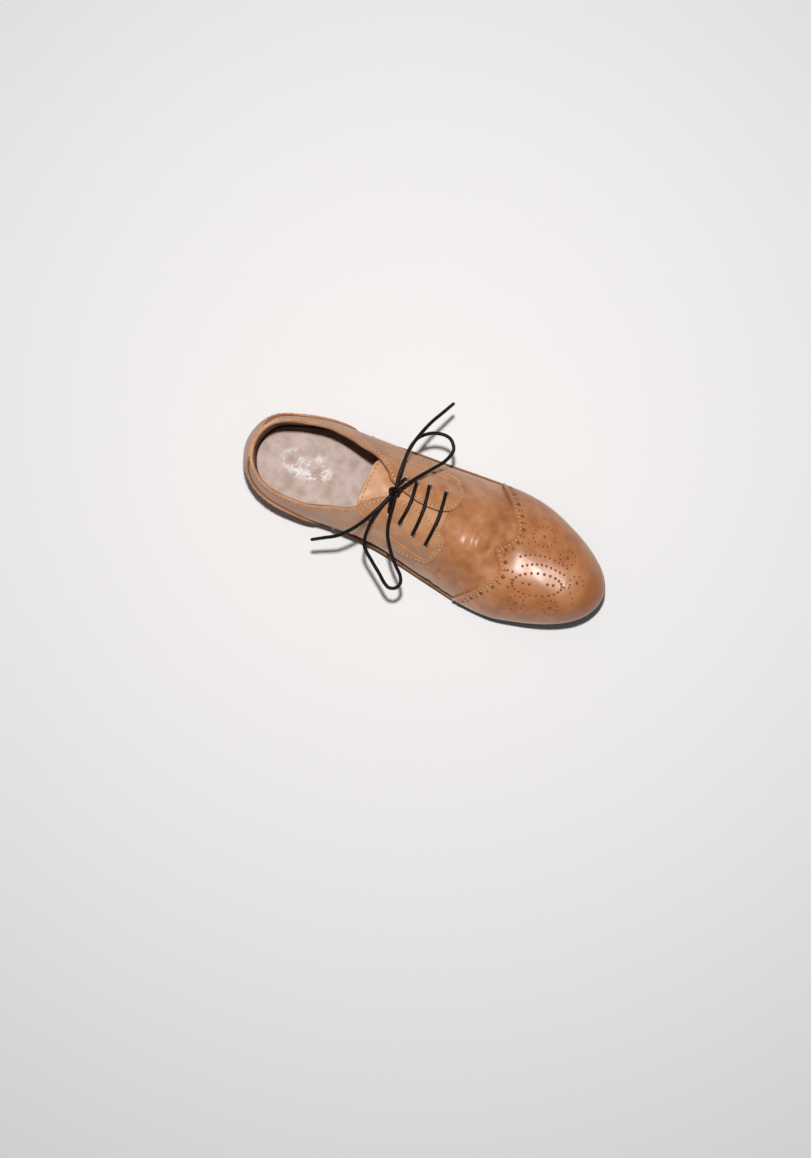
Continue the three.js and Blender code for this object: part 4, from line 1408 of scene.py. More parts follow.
    def _ring(self, name: str, spot: tuple[Array, Array]) -> bpy.types.Object:
        """Makes one eyelet: a tube through the facing with a rolled rim.

        Args:
            name: Name of the object.
            spot: Its place and outward direction.

        Returns:
            The eyelet.
        """
        r, w, depth = self.eyelet_radius, self.eyelet_wall, self.facing
        profile = np.array([
            (r, -depth), (r + w * 0.7, -depth - 0.05), (r + w, -depth + 0.1),
            (r + w * 0.6, -depth + 0.3), (r + w * 0.6, -0.15), (r + w, 0.02), (r + w * 0.95, 0.2),
            (r + w * 0.55, 0.34), (r + 0.12, 0.24), (r, 0),
        ])
        here, out = spot
        ax = np.cross(out, [0, 1, 0])
        ax /= np.linalg.norm(ax)
        ay = np.cross(out, ax)

        def place(u: Array, v: Array) -> Array:
            """Points of the ring, u around it and v along its profile."""
            angle = u * 2 * math.pi
            k = np.rint(v * len(profile)).astype(int) % len(profile)
            radius, height = profile[k].T
            around = (radius * np.cos(angle))[:, None] * ax + (radius * np.sin(angle))[:, None] * ay
            return here + MM * (around + height[:, None] * out)

        ring = grid(name, place, 32, len(profile))
        weld(ring)
        edit(ring, normals_out)
        bpy.ops.object.shade_smooth_by_angle(angle=math.radians(70))
        return ring


# ---------------------------------------------------------------- upper


@dataclass
class Upper:
    """The leather upper: vamp, toe cap, quarters, counter, linings and tongue.

    Attributes:
        finishes: The shoe's finishes.
        overlap: How far the vamp runs on under the cap.
        leather: Thickness of the leather.
        lining: Thickness of the quarters' linings.
        lining_depth: How far under the skin the linings lie.
        counter_depth: The same for the counter, which lies outside the quarters.
        tongue_depth: The same for the tongue.
        tongue_half: Half of the tongue's width.
        tongue_from: x of the tongue's free end.
        tongue_to: x where the tongue is sewn in.
        seam: The cap's seam as places on the skin.
        quarters: Each quarter's region of the skin, by side.
    """

    finishes: Finishes
    overlap: float = 6.0
    leather: float = 1.3
    lining: float = 1.0
    lining_depth: float = 3.2
    counter_depth: float = -1.6
    tongue_depth: float = 3.65
    tongue_half: float = 20.5
    tongue_from: float = 90.7
    tongue_to: float = 162.0
    seam: Array = field(init=False)
    quarters: dict[str, Region] = field(default_factory=dict)

    def __post_init__(self) -> None:
        """Finds the cap's seam on the skin."""
        self.seam = spread(LAST.from_plan(smooth_line(CAP_SEAM, 6)), 400)
        order = np.argsort(self.seam[:, 1])
        self.seam = self.seam[order]
        self.seam[0, 1], self.seam[-1, 1] = -1, 1

    def seam_turn(self, w: Array) -> Array:
        """The cap seam's turn at w."""
        return np.interp(w, self.seam[:, 1], self.seam[:, 0])

    def make_cap(self) -> None:
        """Makes the toe cap."""
        def place(u: Array, v: Array) -> Array:
            """Points of the cap, u across it and v to the toe."""
            w = 2 * u - 1
            start = self.seam_turn(w)
            turn = start + (math.pi - start) * v
            return LAST.skin(turn, w)

        cap = shell("toe_cap_wing", place, 150, 90, self.leather, 0.45)
        dress(cap, self.finishes["calf_cap_chestnut"], Slot.CAP, Body.SHOE, "toe_cap")

    def make_vamp(self) -> None:
        """Makes the vamp, creased over the ball of the foot."""
        edge = LAST.from_side(
            [(73.8, 17.5), (74, 27), (77.5, 35.5), (85, 43.5), (96, 49), (110, 51), (134, 51.5),
             (146, 51.5), (151.2, 53), (152.2, 58), (152, 64)], 1.0)
        edge = edge[np.argsort(edge[:, 1])]
        edge[0, 1], edge[-1, 1] = 0, 1

        half_length = (LAST.toe - LAST.back) / 2

        def place(u: Array, v: Array) -> Array:
            """Points of the vamp, u across it and v to the toe."""
            w = 2 * u - 1
            end = self.seam_turn(w) + self.overlap / (half_length * np.sin(self.seam_turn(w)))
            start = np.interp(np.abs(w), edge[:, 1], edge[:, 0])
            return LAST.skin(start + (end - start) * v, w, self.leather + LAST.gap)

        vamp = shell("vamp_creased", place, 150, 100, self.leather, 0.35)
        dress(vamp, self.finishes["calf_vamp_tan"], Slot.TAN, Body.SHOE, "vamp")

    def make_quarters(self) -> None:
        """Makes both quarters and their linings."""
        for name, side in SIDES.items():
            low_edge = LAST.from_side(smooth_line(QUARTER_EDGE, 6), side)
            low_edge[0] = [low_edge[0, 0], side]
            bottom = np.vstack([feather(side, LAST.back, 79.9)[:-1], low_edge])
            front_low = LAST.from_side(FACING_FRONT, side)
            throat = LAST.from_plan(smooth_line(THROAT[side], 6))
            turn_at = int(np.argmin(np.abs(smooth_line(THROAT[side], 6)[:, 0] - 146)))
            right = np.vstack([front_low[:2], throat[2 : turn_at + 1]])
            right[0] = bottom[-1]
            top_line = LAST.from_side(smooth_line(TOP_LINE, 6), side)
            top = np.vstack([[back_place(side, 84.4)], top_line[2:-3], throat[turn_at:][::-1][2:]])
            left = line(bottom[0], top[0])
            region = Region(bottom, right, top, left)
            self.quarters[name] = region

            def place(u: Array, v: Array, region: Region = region) -> Array:
                """Points of the quarter."""
                at = region(u, v)
                return LAST.skin(at[..., 0], at[..., 1], 0, LAST.facing_lift)

            quarter = shell(f"quarter_panel_{name}", place, 170, 80, self.leather, 0.4)
            dress(quarter, self.finishes["calf_quarter_tan"], Slot.TAN, Body.SHOE, f"quarter_{name}")
            self._make_quarter_lining(name, side, top, throat[:turn_at + 1])

    def _make_quarter_lining(self, name: str, side: float, top: Array, front: Array) -> None:
        """Makes a quarter's lining, drawn up to the quarter along the top line."""
        seam = feather(side, 150.5, 150.5)[:1]
        bottom = feather(side, LAST.back, 150.5)
        up = line(seam[0], [front[len(front) // 2, 0], front[len(front) // 2, 1]])
        right = np.vstack([up, front[len(front) // 2 :]])
        region = Region(bottom, right, top, line(bottom[0], top[0]))

        def place(u: Array, v: Array) -> Array:
            """Points of the lining."""
            at = region(u, v)
            x, share = LAST.x_of(at[..., 0]), 1 - np.abs(at[..., 1])
            closed = ramp(v, 0.8, 0.98) * (1 - ramp(share, 0.5, 0.62) * ramp(x, 70, 92))
            return LAST.skin(at[..., 0], at[..., 1], self.lining_depth - 1.75 * closed, LAST.lining_lift)

        lining = shell(f"quarter_lining_sheet_{name}", place, 150, 70, self.lining, 0.3)
        dress(lining, self.finishes["lining_glazed_beige"], Slot.LINING, Body.SHOE, f"quarter_lining_{name}")

    def make_counter(self) -> None:
        """Makes the counter foxing with its strip up the back."""
        halves = []
        for name, side in SIDES.items():
            edge = LAST.from_side(smooth_line(COUNTER_EDGE, 6), side)[::-1]
            edge[0] = [edge[0, 0], side]
            edge = spread(edge, 400, LAST.skin(edge[:, 0], edge[:, 1]))
            rise = np.linspace(0, 1, 400)
            turning = float(rise[np.argmin(np.abs(LAST.x_of(edge[:, 0]) - 14))])
            low = float(LAST.feather_z(LAST.back))
            height = SmoothCurve([(0, low), (turning * 0.6, 40), (turning, 56), (1, 84.9)])
            back_w = np.array([back_place(side, z)[1] for z in height(rise)])
            back_w[0] = side

            def place(u: Array, v: Array, edge: Array = edge, back_w: Array = back_w) -> Array:
                """Points of one half of the counter."""
                turn = u * np.interp(v, rise, edge[:, 0])
                w = (1 - u) * np.interp(v, rise, back_w) + u * np.interp(v, rise, edge[:, 1])
                return LAST.skin(turn, w, self.counter_depth)

            halves.append(grid(f"counter_{name}", place, 80, 90))
        for half in halves:
            weld(half)
            face_out(half, foot_axis)
        counter = join(halves)
        counter.name = counter.data.name = "counter_foxing_panel"
        weld(counter, 3e-5)
        face_out(counter, foot_axis)
        thicken(counter, self.leather, 0.45)
        dress(counter, self.finishes["calf_counter_chestnut"], Slot.CAP, Body.SHOE, "counter_foxing")

    def tongue_point(self, u: Array, v: Array, depth: float) -> Array:
        """Points of the tongue, u towards the toe and v across.

        Args:
            u: From the free end to the toe.
            v: From side to side.
            depth: Depth under the skin in millimetres.

        Returns:
            Rows of x, y and z.
        """
        side = 2 * np.asarray(v) - 1
        start = self.tongue_from + 3.5 * np.abs(side) ** 6
        x = start + (self.tongue_to - start) * u
        half = self.tongue_half * (1 - 0.25 * ramp(x, 125, self.tongue_to))
        y = LAST.ridge_y(x) + half * side
        places = LAST.from_plan(np.stack([x, y], axis=-1))
        point = LAST.skin(places[:, 0], places[:, 1], depth, None, False)
        sag = 12.8 * np.clip((114 - x) / 23.3, 0, 1.05) ** 1.3
        point[:, 2] -= sag * (1 - side**2) * MM
        wave = 0.35 * np.sin(x * 0.21 + side) * (1 - side**2)
        point[:, 2] -= np.maximum(0, wave) * MM
        return point

    def make_tongue(self) -> None:
        """Makes the tongue and its lining."""
        tongue = grid("tongue_tan", lambda u, v: self.tongue_point(u, v, self.tongue_depth), 90, 44)
        face_out(tongue, foot_axis)
        thicken(tongue, self.leather, 0.4)
        dress(tongue, self.finishes["calf_tongue_pale"], Slot.TONGUE, Body.TONGUE, "tongue")
        depth = self.tongue_depth + self.leather + 0.6
        lining = grid("tongue_lining_sheet", lambda u, v: self.tongue_point(u, v, depth), 90, 44)
        face_out(lining, foot_axis)
        thicken(lining, 0.8, 0.25)
        dress(lining, self.finishes["lining_glazed_beige"], Slot.LINING, Body.TONGUE, "tongue_lining")


# ---------------------------------------------------------------- trim


# rings of dots on the toe: middle, half axes, turn in degrees, count and radius
TOE_RINGS = (
    (229.5, -10.6, 17.5, 8, 19, 24, 0.95), (221.1, 22.9, 7.8, 7, 20, 15, 0.76),
    (241.8, 15.4, 5.6, 5, 0, 10, 0.76), (254.5, 2.0, 4.8, 4.6, 0, 8, 0.76),
    (221.5, -28.0, 5.6, 5, 10, 10, 0.76), (244.6, -21.4, 5.4, 5, 0, 10, 0.76),
)
# single dots: x, y and radius
TOE_DOTS = (
    (221.1, 22.9, 1.3), (241.8, 15.4, 1.2), (254.5, 2.0, 1.2), (221.5, -28, 1.4),
    (244.6, -21.4, 1.4), (220, -13.5, 1.0), (224.5, -12.4, 1.0), (236, -7.5, 1.0),
    (240, -6.4, 1.0),
)
# rows of dots: the line, count and radius
TOE_ROWS = (
    ([(211, 3), (218.5, 7.7), (230.9, 10.2), (244.3, 8.6)], 11, 0.85),
    ([(214.9, -2.6), (222, 1.8), (231, 4.2), (244, 3.6)], 10, 0.85),
    ([(210, -9), (211.5, -14), (211.5, -20)], 3, 0.85),
    ([(208.5, 12), (213, 14), (216, 17)], 3, 0.7),
    ([(250, -4.5), (255, -8), (257.5, -13)], 4, 0.76),
)
RIDGES = {
    "lateral": [(94.6, 27.6), (107.1, 30.2), (118, 31.7), (137, 32.4), (151, 32.7)],
    "medial": [(94.5, -13.4), (111.3, -18.5), (127.8, -22.8), (143.9, -26.3), (151, -28.1)],
}


@dataclass
class Trim:
    """Stitching, punched pattern, pressed ridges and the cap's rolled edge.

    Attributes:
        finishes: The shoe's finishes.
        upper: The upper that it is worked on.
        big: Radius of a large punch.
        small: Radius of a small punch.
        stitch: Length of a stitch.
        pitch: Spacing of stitches.
    """

    finishes: Finishes
    upper: Upper
    big: float = 1.6
    small: float = 0.85
    stitch: float = 2.1
    pitch: float = 3.1

    def sew(self, name: str, frames: list[Frame], slot: Slot, body: Body = Body.SHOE,
            length: float | None = None, thread: str = "thread_tan_waxed") -> None:
        """Makes a row of stitches.

        Args:
            name: Name of the row.
            frames: Where the stitches lie.
            slot: Slot of the leather that they are sewn in.
            body: The body they ride on.
            length: Length of a stitch, if not the usual one.
            thread: Name of the thread's finish.
        """
        base = primitive("uv_sphere", segments=8, ring_count=6, radius=1)
        bpy.ops.object.shade_smooth()
        half = (length or self.stitch) / 2
        place_vertices(base, coordinates(base)[:, [2, 0, 1]] * np.array([half, 0.42, 0.32]))
        row = repeat(name, base, frames)
        dress(row, self.finishes[thread], slot, body)
        # dark discs at each stitch's ends are painted shade in the thread's holes
        base = primitive("circle", vertices=8, radius=1, fill_type="TRIFAN")
        place_vertices(base, coordinates(base) * np.array([0.5, 0.4, 1]) + np.array([0, 0, 0.07]))
        ends = [(centre + along * (half + 0.4) * MM, along, across, out)
                for centre, along, across, out in frames]
        holes = repeat(f"{name}_holes", base, ends)
        dress(holes, self.finishes["punch_hole_shade"], slot, body)

    def punch(self, name: str, frames: list[Frame], radii: list[float], slot: Slot) -> None:
        """Makes punched holes, each a disc of painted shade with a raised rim.

        Args:
            name: Name of the group.
            frames: Where the holes are.
            radii: Radius of each in millimetres.
            slot: Slot of the leather that they are punched in.
        """
        # the disc is painted shade, standing in for the depth of the hole
        pit = primitive("circle", vertices=14, radius=1, fill_type="TRIFAN")
        spots = coordinates(pit)
        spots[:, 2] = 0.12
        place_vertices(pit, spots)
        pits = repeat(f"{name}_pits", pit, frames, radii)
        dress(pits, self.finishes["punch_hole_shade"], slot, Body.SHOE)
        rim = primitive("torus", major_segments=14, minor_segments=6, major_radius=1.05,
                        minor_radius=0.2)
        bpy.ops.object.shade_smooth()
        rims = repeat(f"{name}_rims", rim, frames, radii)
        leather = "calf_cap_chestnut" if slot == Slot.CAP else "calf_quarter_tan"
        dress(rims, self.finishes[leather], slot, Body.SHOE)

    def ridge(self, name: str, places: Array, radius: float, depth: float, lift: Lift | None,
              finish: str, slot: Slot) -> None:
        """Makes a pressed or rolled ridge, half sunk in the leather.

        Args:
            name: Name of the ridge.
            places: Its line on the skin.
            radius: Its radius in millimetres.
            depth: Depth of its middle.
            lift: The layer's lift.
            finish: Name of its finish.
            slot: Slot of that finish.
        """
        dense = spread(places, 200)
        points, _ = surface_frame(dense, depth, lift)
        share = np.linspace(0, 1, len(points))
        taper = np.clip(np.minimum(share, 1 - share) * 25, 0.25, 1)
        dress(tube(name, points, radius, taper), self.finishes[finish], slot, Body.SHOE)

    @staticmethod
    def alternate(frames: list[Frame], big: float, small: float,
                  apart: float) -> tuple[list[Frame], list[float]]:
        """Turns evenly spaced frames into single large holes and pairs of small ones.

        Args:
            frames: Where the holes go.
            big: Radius of the single ones.
            small: Radius of the paired ones.
            apart: Half of a pair's spacing.

        Returns:
            The frames and the radii of all holes.
        """
        spots, radii = [], []
        for i, (centre, along, across, out) in enumerate(frames):
            if i % 2 == 0:
                spots.append((centre, along, across, out))
                radii.append(big)
            else:
                for s in (-1, 1):
                    spots.append((centre + across * s * apart * MM, along, across, out))
                    radii.append(small)
        return spots, radii

    def make_cap_trim(self) -> None:
        """Makes the cap's rolled edge, its punched border, its seam and the toe's pattern."""
        seam = self.upper.seam
        self.ridge("cap_rolled_edge", seam[6:-6], 1.05, 0.25, None, "calf_cap_chestnut", Slot.CAP)
        toe = (LAST.turn_of(235.0), 0.0)
        border = offset_places(spread(seam, 140)[5:-5], 4.4, toe)
        spots, radii = self.alternate(along_line(border, 5.4, 0, None, 3), self.big, self.small, 1.15)
        self.punch("cap_border", spots, radii, Slot.CAP)
        stitches = offset_places(spread(seam, 140)[4:-4], 1.9, toe)
        self.sew("cap_seam_stitches", along_line(stitches, self.pitch, 0, None), Slot.CAP)
        self._make_toe_pattern()

    def _make_toe_pattern(self) -> None:
        """Makes the punched pattern on the toe."""
        dots: list[tuple[float, float, float]] = []
        for cx, cy, rx, ry, turned, count, radius in TOE_RINGS:
            for k in range(count):
                a = 2 * math.pi * k / count
                px, py = rx * math.cos(a), ry * math.sin(a)
                c, s = math.cos(math.radians(turned)), math.sin(math.radians(turned))
                dots.append((cx + px * c - py * s, cy + px * s + py * c, radius))
        dots += TOE_DOTS
        for points, count, radius in TOE_ROWS:
            dots += [(x, y, radius) for x, y in spread(smooth_line(points, 12), count)]
        places = LAST.from_plan([(x, y) for x, y, _ in dots])
        here, out = surface_frame(places, 0, None)
        spots = []
        for p, normal in zip(here, out):
            across = np.cross(normal, [1.0, 0, 0])
            across /= np.linalg.norm(across)
            spots.append((p, np.cross(across, normal), across, normal))
        self.punch("toe_pattern", spots, [radius for _, _, radius in dots], Slot.CAP)

    def make_quarter_trim(self) -> None:
        """Makes the stitching and pressed ridges of both quarters."""
        for name, side in SIDES.items():
            region = self.upper.quarters[name]
            middle = region(np.array(0.55), np.array(0.6))
            lift = LAST.facing_lift
            top = offset_places(spread(region.top, 200)[6:], 2.4, middle)
            self.sew(f"top_line_stitches_{name}", along_line(top, self.pitch, 0, lift), Slot.TAN)
            front = offset_places(spread(region.right, 90)[4:-1], 2.4, region(np.array(0.9), np.array(0.5)))
            self.sew(f"facing_front_stitches_{name}", along_line(front, self.pitch, 0, lift), Slot.TAN)
            low = LAST.from_side(smooth_line(QUARTER_EDGE[1:], 6), side)
            edge = offset_places(spread(low, 120), 1.9, middle)
            self.sew(f"quarter_edge_stitches_{name}", along_line(edge, self.pitch, 0, lift), Slot.TAN)
            ridge_line = LAST.from_plan(smooth_line(RIDGES[name], 8))
            self.ridge(f"pressed_ridge_{name}", ridge_line, 0.8, 0.05, lift, "calf_quarter_tan", Slot.TAN)
            tacks = []
            for row in (0.0, 2.9):
                ends = LAST.from_side([(144.5, 50.5 + row), (153.2, 51.0 + row)], side)
                tacks += along_line(ends, 1.45, 0, lift)
            self.sew(f"bar_tacks_{name}", tacks, Slot.TAN, length=1.35)

    def make_counter_trim(self) -> None:
        """Makes the counter's punched border and its stitching."""
        for name, side in SIDES.items():
            edge = LAST.from_side(smooth_line(COUNTER_EDGE[1:], 6), side)
            inner = (0.05, side * 0.8)
            border = offset_places(spread(edge, 120)[4:-2], 4.6, inner)
            holes = along_line(border, 5.0, self.upper.counter_depth, None, 1)
            spots, radii = self.alternate(holes, 1.1, 0.55, 1.0)
            self.punch(f"counter_border_{name}", spots, radii, Slot.CAP)
            seam = offset_places(spread(edge, 120)[3:-1], 1.8, inner)
            frames = along_line(seam, self.pitch, self.upper.counter_depth, None)
            self.sew(f"counter_stitches_{name}", frames, Slot.CAP)

    def make_tongue_trim(self) -> None:
        """Makes the stitching along the tongue's free end."""
        v = np.linspace(0.05, 0.95, 200)
        u = np.full_like(v, 0.035)
        points = self.upper.tongue_point(u, v, self.upper.tongue_depth)
        ahead = self.upper.tongue_point(u + 0.01, v, self.upper.tongue_depth)
        run = length_along(points) / MM
        frames = []
        for at in np.arange(1.5, run[-1] - 1, self.pitch):
            k = int(np.searchsorted(run, at))
            along = points[min(k + 1, 199)] - points[k - 1]
            along /= np.linalg.norm(along)
            normal = np.cross(ahead[k] - points[k], along)
            normal /= np.linalg.norm(normal)
            normal = normal if normal[2] > 0 else -normal
            frames.append((points[k], along, np.cross(normal, along), normal))
        self.sew("tongue_stitches", frames, Slot.TONGUE, Body.TONGUE)

    def make_welt_stitches(self) -> None:
        """Makes the stitching on the welt's top."""
        frames = []
        for side in (1.0, -1.0):
            turn = np.linspace(LAST.turn_of(60.0), math.pi, 400)
            x, y, nx, ny = LAST.foot(turn, np.full_like(turn, side))
            x, y = x + nx * 1.15, y + ny * 1.15
            points = row_frame(np.stack([x, y, LAST.feather_z(x) + 0.05], axis=1))
            run = length_along(points) / MM
            for at in np.arange(1.8, run[-1] - 0.5, 3.4):
                k = min(int(np.searchsorted(run, at)), 398)
                along = points[k + 1] - points[k - 1]
                along /= np.linalg.norm(along)
                across = np.cross([0, 0, 1.0], along)
                across /= np.linalg.norm(across)
                frames.append((points[k], along, across, np.cross(along, across)))
        self.sew("welt_stitches", frames, Slot.WELT, length=2.4, thread="thread_welt_brown")


# ---------------------------------------------------------------- sole and heel


@dataclass
class Bottom:
    """Welt, midsole, stacked heel, rubber and the sock inside.

    Attributes:
        finishes: The shoe's finishes.
        margin: How far the welt stands out past the feather line.
        breast: x of the heel's front face.
        tip_split: x where the heel's rubber tip ends.
        rubber_from: x where the forepart's rubber starts.
    """

    finishes: Finishes
    margin: float = 2.2
    breast: float = 73.0
    tip_split: float = 34.0
    rubber_from: float = 148.0

    def welt_out(self, x: Array) -> Array:
        """How far the welt stands out at x."""
        return 0.6 + (self.margin - 0.6) * ramp(x, 50, 112)

    def rim(self, turn: Array, side: float, inset: Array | float) -> tuple[Array, Array]:
        """Outline points moved inwards from the welt's edge."""
        sides = np.full_like(turn, side)
        x, y, nx, ny = LAST.foot(turn, sides)
        out = self.welt_out(x) - inset
        return x + nx * out, y + ny * out

    def slab(self, name: str, top: Callable, bottom: Callable, inset: Callable | float = 0.0,
             x_from: float = -9.0, x_to: float = 999.0, bow: tuple[float, float] = (0.0, 0.0),
             edge: float = 0.5, stations: int = 170) -> bpy.types.Object:
        """Makes a layer of the bottom.

        Args:
            name: Name of the object.
            top: Height of the top face at x.
            bottom: Height of the bottom face at x.
            inset: How far inside the welt's edge its outline is.
            x_from: Where it starts.
            x_to: Where it ends.
            bow: How far its rear and front ends curve forward in the middle.
            edge: Rounding of its edges in millimetres.
            stations: Steps along it.

        Returns:
            The layer.
        """
        across, high = 16, 4
        rows = 2 * (across + high)

        def place(u: Array, v: Array) -> Array:
            """Points of the layer, u along it and v around its section."""
            t0, t1 = LAST.turn_of(max(x_from, LAST.back)), LAST.turn_of(min(x_to, LAST.toe))
            turn = t0 + (t1 - t0) * u
            inside = inset(LAST.x_of(turn)) if callable(inset) else inset
            lx, ly = self.rim(turn, 1.0, inside)
            mx, my = self.rim(turn, -1.0, inside)
            k = np.rint(v * rows).astype(int) % rows
            on_top = k <= across
            going_down = (k > across) & (k < across + high)
            beneath = (k >= across + high) & (k <= 2 * across + high)
            back_across = np.where(beneath, 1 - (k - across - high) / across, 0.0)
            going_up = np.where(beneath, 0.0, (k - 2 * across - high) / high)
            s = np.where(on_top, k / across, np.where(going_down, 1.0, back_across))
            h = np.where(on_top, 1.0, np.where(going_down, 1 - (k - across) / high, going_up))
            x, y = mx + (lx - mx) * s, my + (ly - my) * s
            curve = 1 - (2 * s - 1) ** 2
            near_rear = ramp(-(LAST.x_of(turn) - x_from), -14, 0) if x_from > LAST.back else 0.0
            near_front = ramp(LAST.x_of(turn) - x_to, -14, 0) if x_to < LAST.toe else 0.0
            x = x + curve * (bow[0] * near_rear + bow[1] * near_front)
            z = bottom(x) + (top(x) - bottom(x)) * h
            return row_frame(np.stack([x, y, z], axis=-1))

        layer = grid(name, place, stations, rows)
        weld(layer, 4e-6, fill=True)
        thicken(layer, 0, edge, 40)
        return layer

    def ring(self, name: str, top: Callable, bottom: Callable, width: float, edge: float) -> bpy.types.Object:
        """Makes a strip that runs right round the shoe.

        Args:
            name: Name of the object.
            top: Height of its top at x.
            bottom: Height of its bottom at x.
            width: Its width in millimetres.
            edge: Rounding of its edges in millimetres.

        Returns:
            The strip.
        """
        profile = np.array([(0, 0), (0, 0.5), (0, 1), (width / 2, 1), (width, 1), (width, 0), (width / 2, 0)])

        def place(u: Array, v: Array) -> Array:
            """Points of the strip, u around the shoe and v around its section."""
            k = np.rint(v * len(profile)).astype(int) % len(profile)
            inset, high = profile[k].T
            side = np.where(u < 0.5, 1.0, -1.0)
            turn = np.clip(math.pi * (1 - np.abs(2 * u - 1)), 0, math.pi)
            x, y, nx, ny = LAST.foot(turn, side)
            out = self.welt_out(x) - inset
            x, y = x + nx * out, y + ny * out
            z = bottom(x) + (top(x) - bottom(x)) * high
            return row_frame(np.stack([x, y, z], axis=-1))

        strip = grid(name, place, 360, len(profile))
        weld(strip, 4e-6, fill=True)
        thicken(strip, 0, edge, 40)
        return strip

    def make(self) -> None:
        """Makes every layer that shows."""
        def below(drop: float) -> Callable[[Array], Array]:
            """Height at a drop under the welt's top."""
            return lambda x: LAST.feather_z(x) - drop

        def level(height: float) -> Callable[[Array], Array]:
            """The same height all along."""
            return lambda x: 0 * x + height

        def inside(inset: float) -> Callable[[Array], Array]:
            """Inset that follows the welt's edge."""
            return lambda x: self.welt_out(x) + inset

        f = self.finishes
        welt = self.ring("welt_strip", LAST.feather_z, below(2.8), 7.0, 0.55)
        dress(welt, f["welt_edge_tan"], Slot.WELT, Body.SHOE, "welt")
        midsole = self.slab("midsole_layer", below(3.1), below(6.5), edge=0.45)
        dress(midsole, f["midsole_edge_red_tan"], Slot.MIDSOLE, Body.SHOE, "midsole")
        rubber = self.slab("forepart_rubber_sole", below(6.8), below(10), x_from=self.rubber_from,
                           edge=0.6)
        dress(rubber, f["sole_rubber_dark"], Slot.RUBBER, Body.SHOE, "forepart_rubber")
        lift = self.slab("heel_lift_stack", below(6.8), level(6.6), self.welt_out, x_to=self.breast,
                         bow=(0, -3), stations=110)
        dress(lift, f["heel_lift_red_tan"], Slot.LIFT, Body.SHOE, "heel_lift")
        front = self.slab("heel_front_block", level(6.3), level(0), inside(0.6),
                          x_from=self.tip_split + 0.3, x_to=self.breast, bow=(4, -3), stations=80)
        dress(front, f["heel_lift_red_tan"], Slot.LIFT, Body.SHOE, "heel_front_piece")
        tip = self.slab("heel_rubber_tip_block", level(6.3), level(0), inside(0.6),
                        x_to=self.tip_split, bow=(0, 4), stations=80)
        dress(tip, f["heel_tip_rubber_grey"], Slot.TIP, Body.SHOE, "heel_rubber_tip")
        sock = self.slab("sock_sheet", below(-4), below(-3), inside(4.6), edge=0.3)
        dress(sock, f["sock_with_worn_foil"], Slot.SOCK, Body.SHOE, "sock")


# ---------------------------------------------------------------- studio


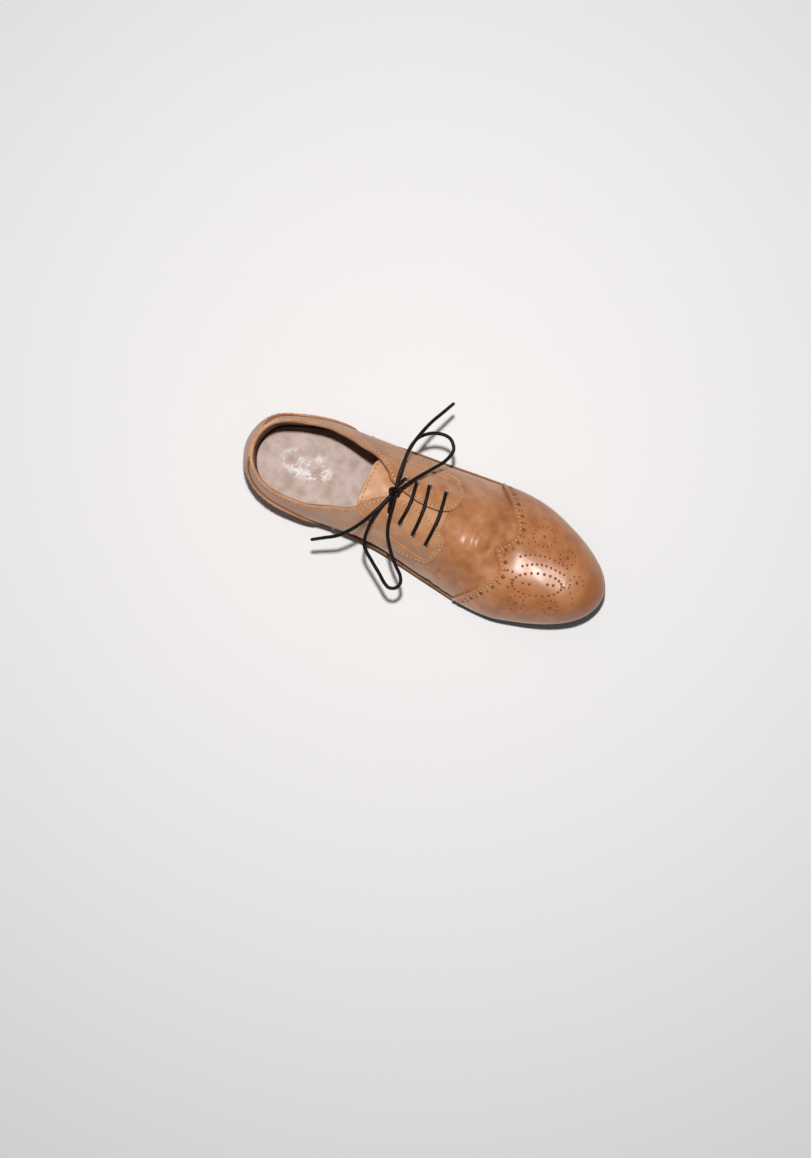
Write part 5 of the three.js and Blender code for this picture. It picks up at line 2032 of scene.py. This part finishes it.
@dataclass
class Studio:
    """Camera, floor and lights.

    Attributes:
        camera_at: Where the camera stands, in metres.
        camera_turn: How far the picture is turned, in degrees.
        lens: Focal length in millimetres on a 36 mm sensor.
        floor: Colour of the floor.
    """

    camera_at: tuple[float, float, float] = (0.0042, -0.0459, 1.3)
    camera_turn: float = 24.0
    lens: float = 54.9
    floor: str = "#f8f7f6"

    def make_camera(self) -> None:
        """Makes the camera, straight above."""
        bpy.ops.object.camera_add(location=self.camera_at, rotation=(0, 0, math.radians(self.camera_turn)))
        camera = bpy.context.object
        camera.name = "camera_above"
        camera.data.lens = self.lens
        camera.data.sensor_width = 36
        bpy.context.scene.camera = camera

    def make_floor(self) -> None:
        """Makes a plain pale floor."""
        bpy.ops.mesh.primitive_plane_add(size=9)
        floor = bpy.context.object
        floor.name = "studio_floor"
        n = Nodes("floor_paper_white")
        n.surface(Base_Color=linear(self.floor), Roughness=0.85, Specular_IOR_Level=0.2)
        floor.data.materials.append(n.material)

    def make_lights(self) -> None:
        """Makes a soft light overhead, a small hard flash, a low fill and a pale world."""
        for name, at, aim, power, size, colour in (
            ("soft_overhead", (-0.5, 0.9, 1.9), (0, 0, 0), 1.3, 1.7, "#fffaf5"),
            ("flash_near_camera", (-0.057, 0.095, 1.32), (0, 0, 0.02), 14.9, 0.04, "#fffefe"),
            ("fill_low", (0.9, -1.2, 0.9), (0, 0, 0.03), 0.7, 1.2, "#f4f7ff"),
        ):
            bpy.ops.object.light_add(type="AREA", location=at)
            lamp = bpy.context.object
            lamp.name = name
            lamp.rotation_euler = (Vector(aim) - Vector(at)).to_track_quat("-Z", "Y").to_euler()
            lamp.data.energy = power
            lamp.data.size = size
            lamp.data.color = linear(colour)[:3]
        world = bpy.data.worlds.new("pale_room")
        world.use_nodes = True
        world.node_tree.nodes["Background"].inputs["Color"].default_value = linear("#f2f3f5")
        world.node_tree.nodes["Background"].inputs["Strength"].default_value = 0.075
        bpy.context.scene.world = world
        bpy.context.scene.view_settings.view_transform = "Standard"


# ---------------------------------------------------------------- the scene


def keep_hidden(frame: dict, finishes: Finishes) -> None:
    """Gives the CAD pieces that stay as they are their real finishes."""
    for node, name, slot in (
        ("toe_puff", "stiffener_board_pale", "stiffener_board"),
        ("heel_stiffener", "stiffener_board_pale", "stiffener_board"),
        ("insole_board", "insole_veg_tan", "insole_leather"),
        ("cork_filler", "cork_granules", "cork"),
        ("shank", "shank_steel_bright", "shank_steel"),
        ("vamp_lining", "lining_glazed_beige", "lining_leather"),
    ):
        obj = frame["nodes"][node]
        obj.data.materials.clear()
        obj.data.materials.append(finishes[name])
        log.info("%s: %s, CAD shape kept", node, name)


def build() -> None:
    """Builds the whole scene in order."""
    logging.basicConfig(level=logging.INFO, format="%(name)s: %(message)s")
    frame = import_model()
    studio = Studio()
    studio.make_camera()
    finishes = Finishes()
    finishes.make()
    lacing = Lacing()
    lacing.make_cords(finishes)
    lacing.make_run(finishes)
    lacing.make_eyelets(finishes)
    upper = Upper(finishes)
    upper.make_cap()
    upper.make_vamp()
    upper.make_quarters()
    upper.make_counter()
    upper.make_tongue()
    trim = Trim(finishes, upper)
    trim.make_cap_trim()
    trim.make_quarter_trim()
    trim.make_counter_trim()
    trim.make_tongue_trim()
    trim.make_welt_stitches()
    Bottom(finishes).make()
    keep_hidden(frame, finishes)
    studio.make_floor()
    studio.make_lights()


if __name__ == "__main__":
    build()
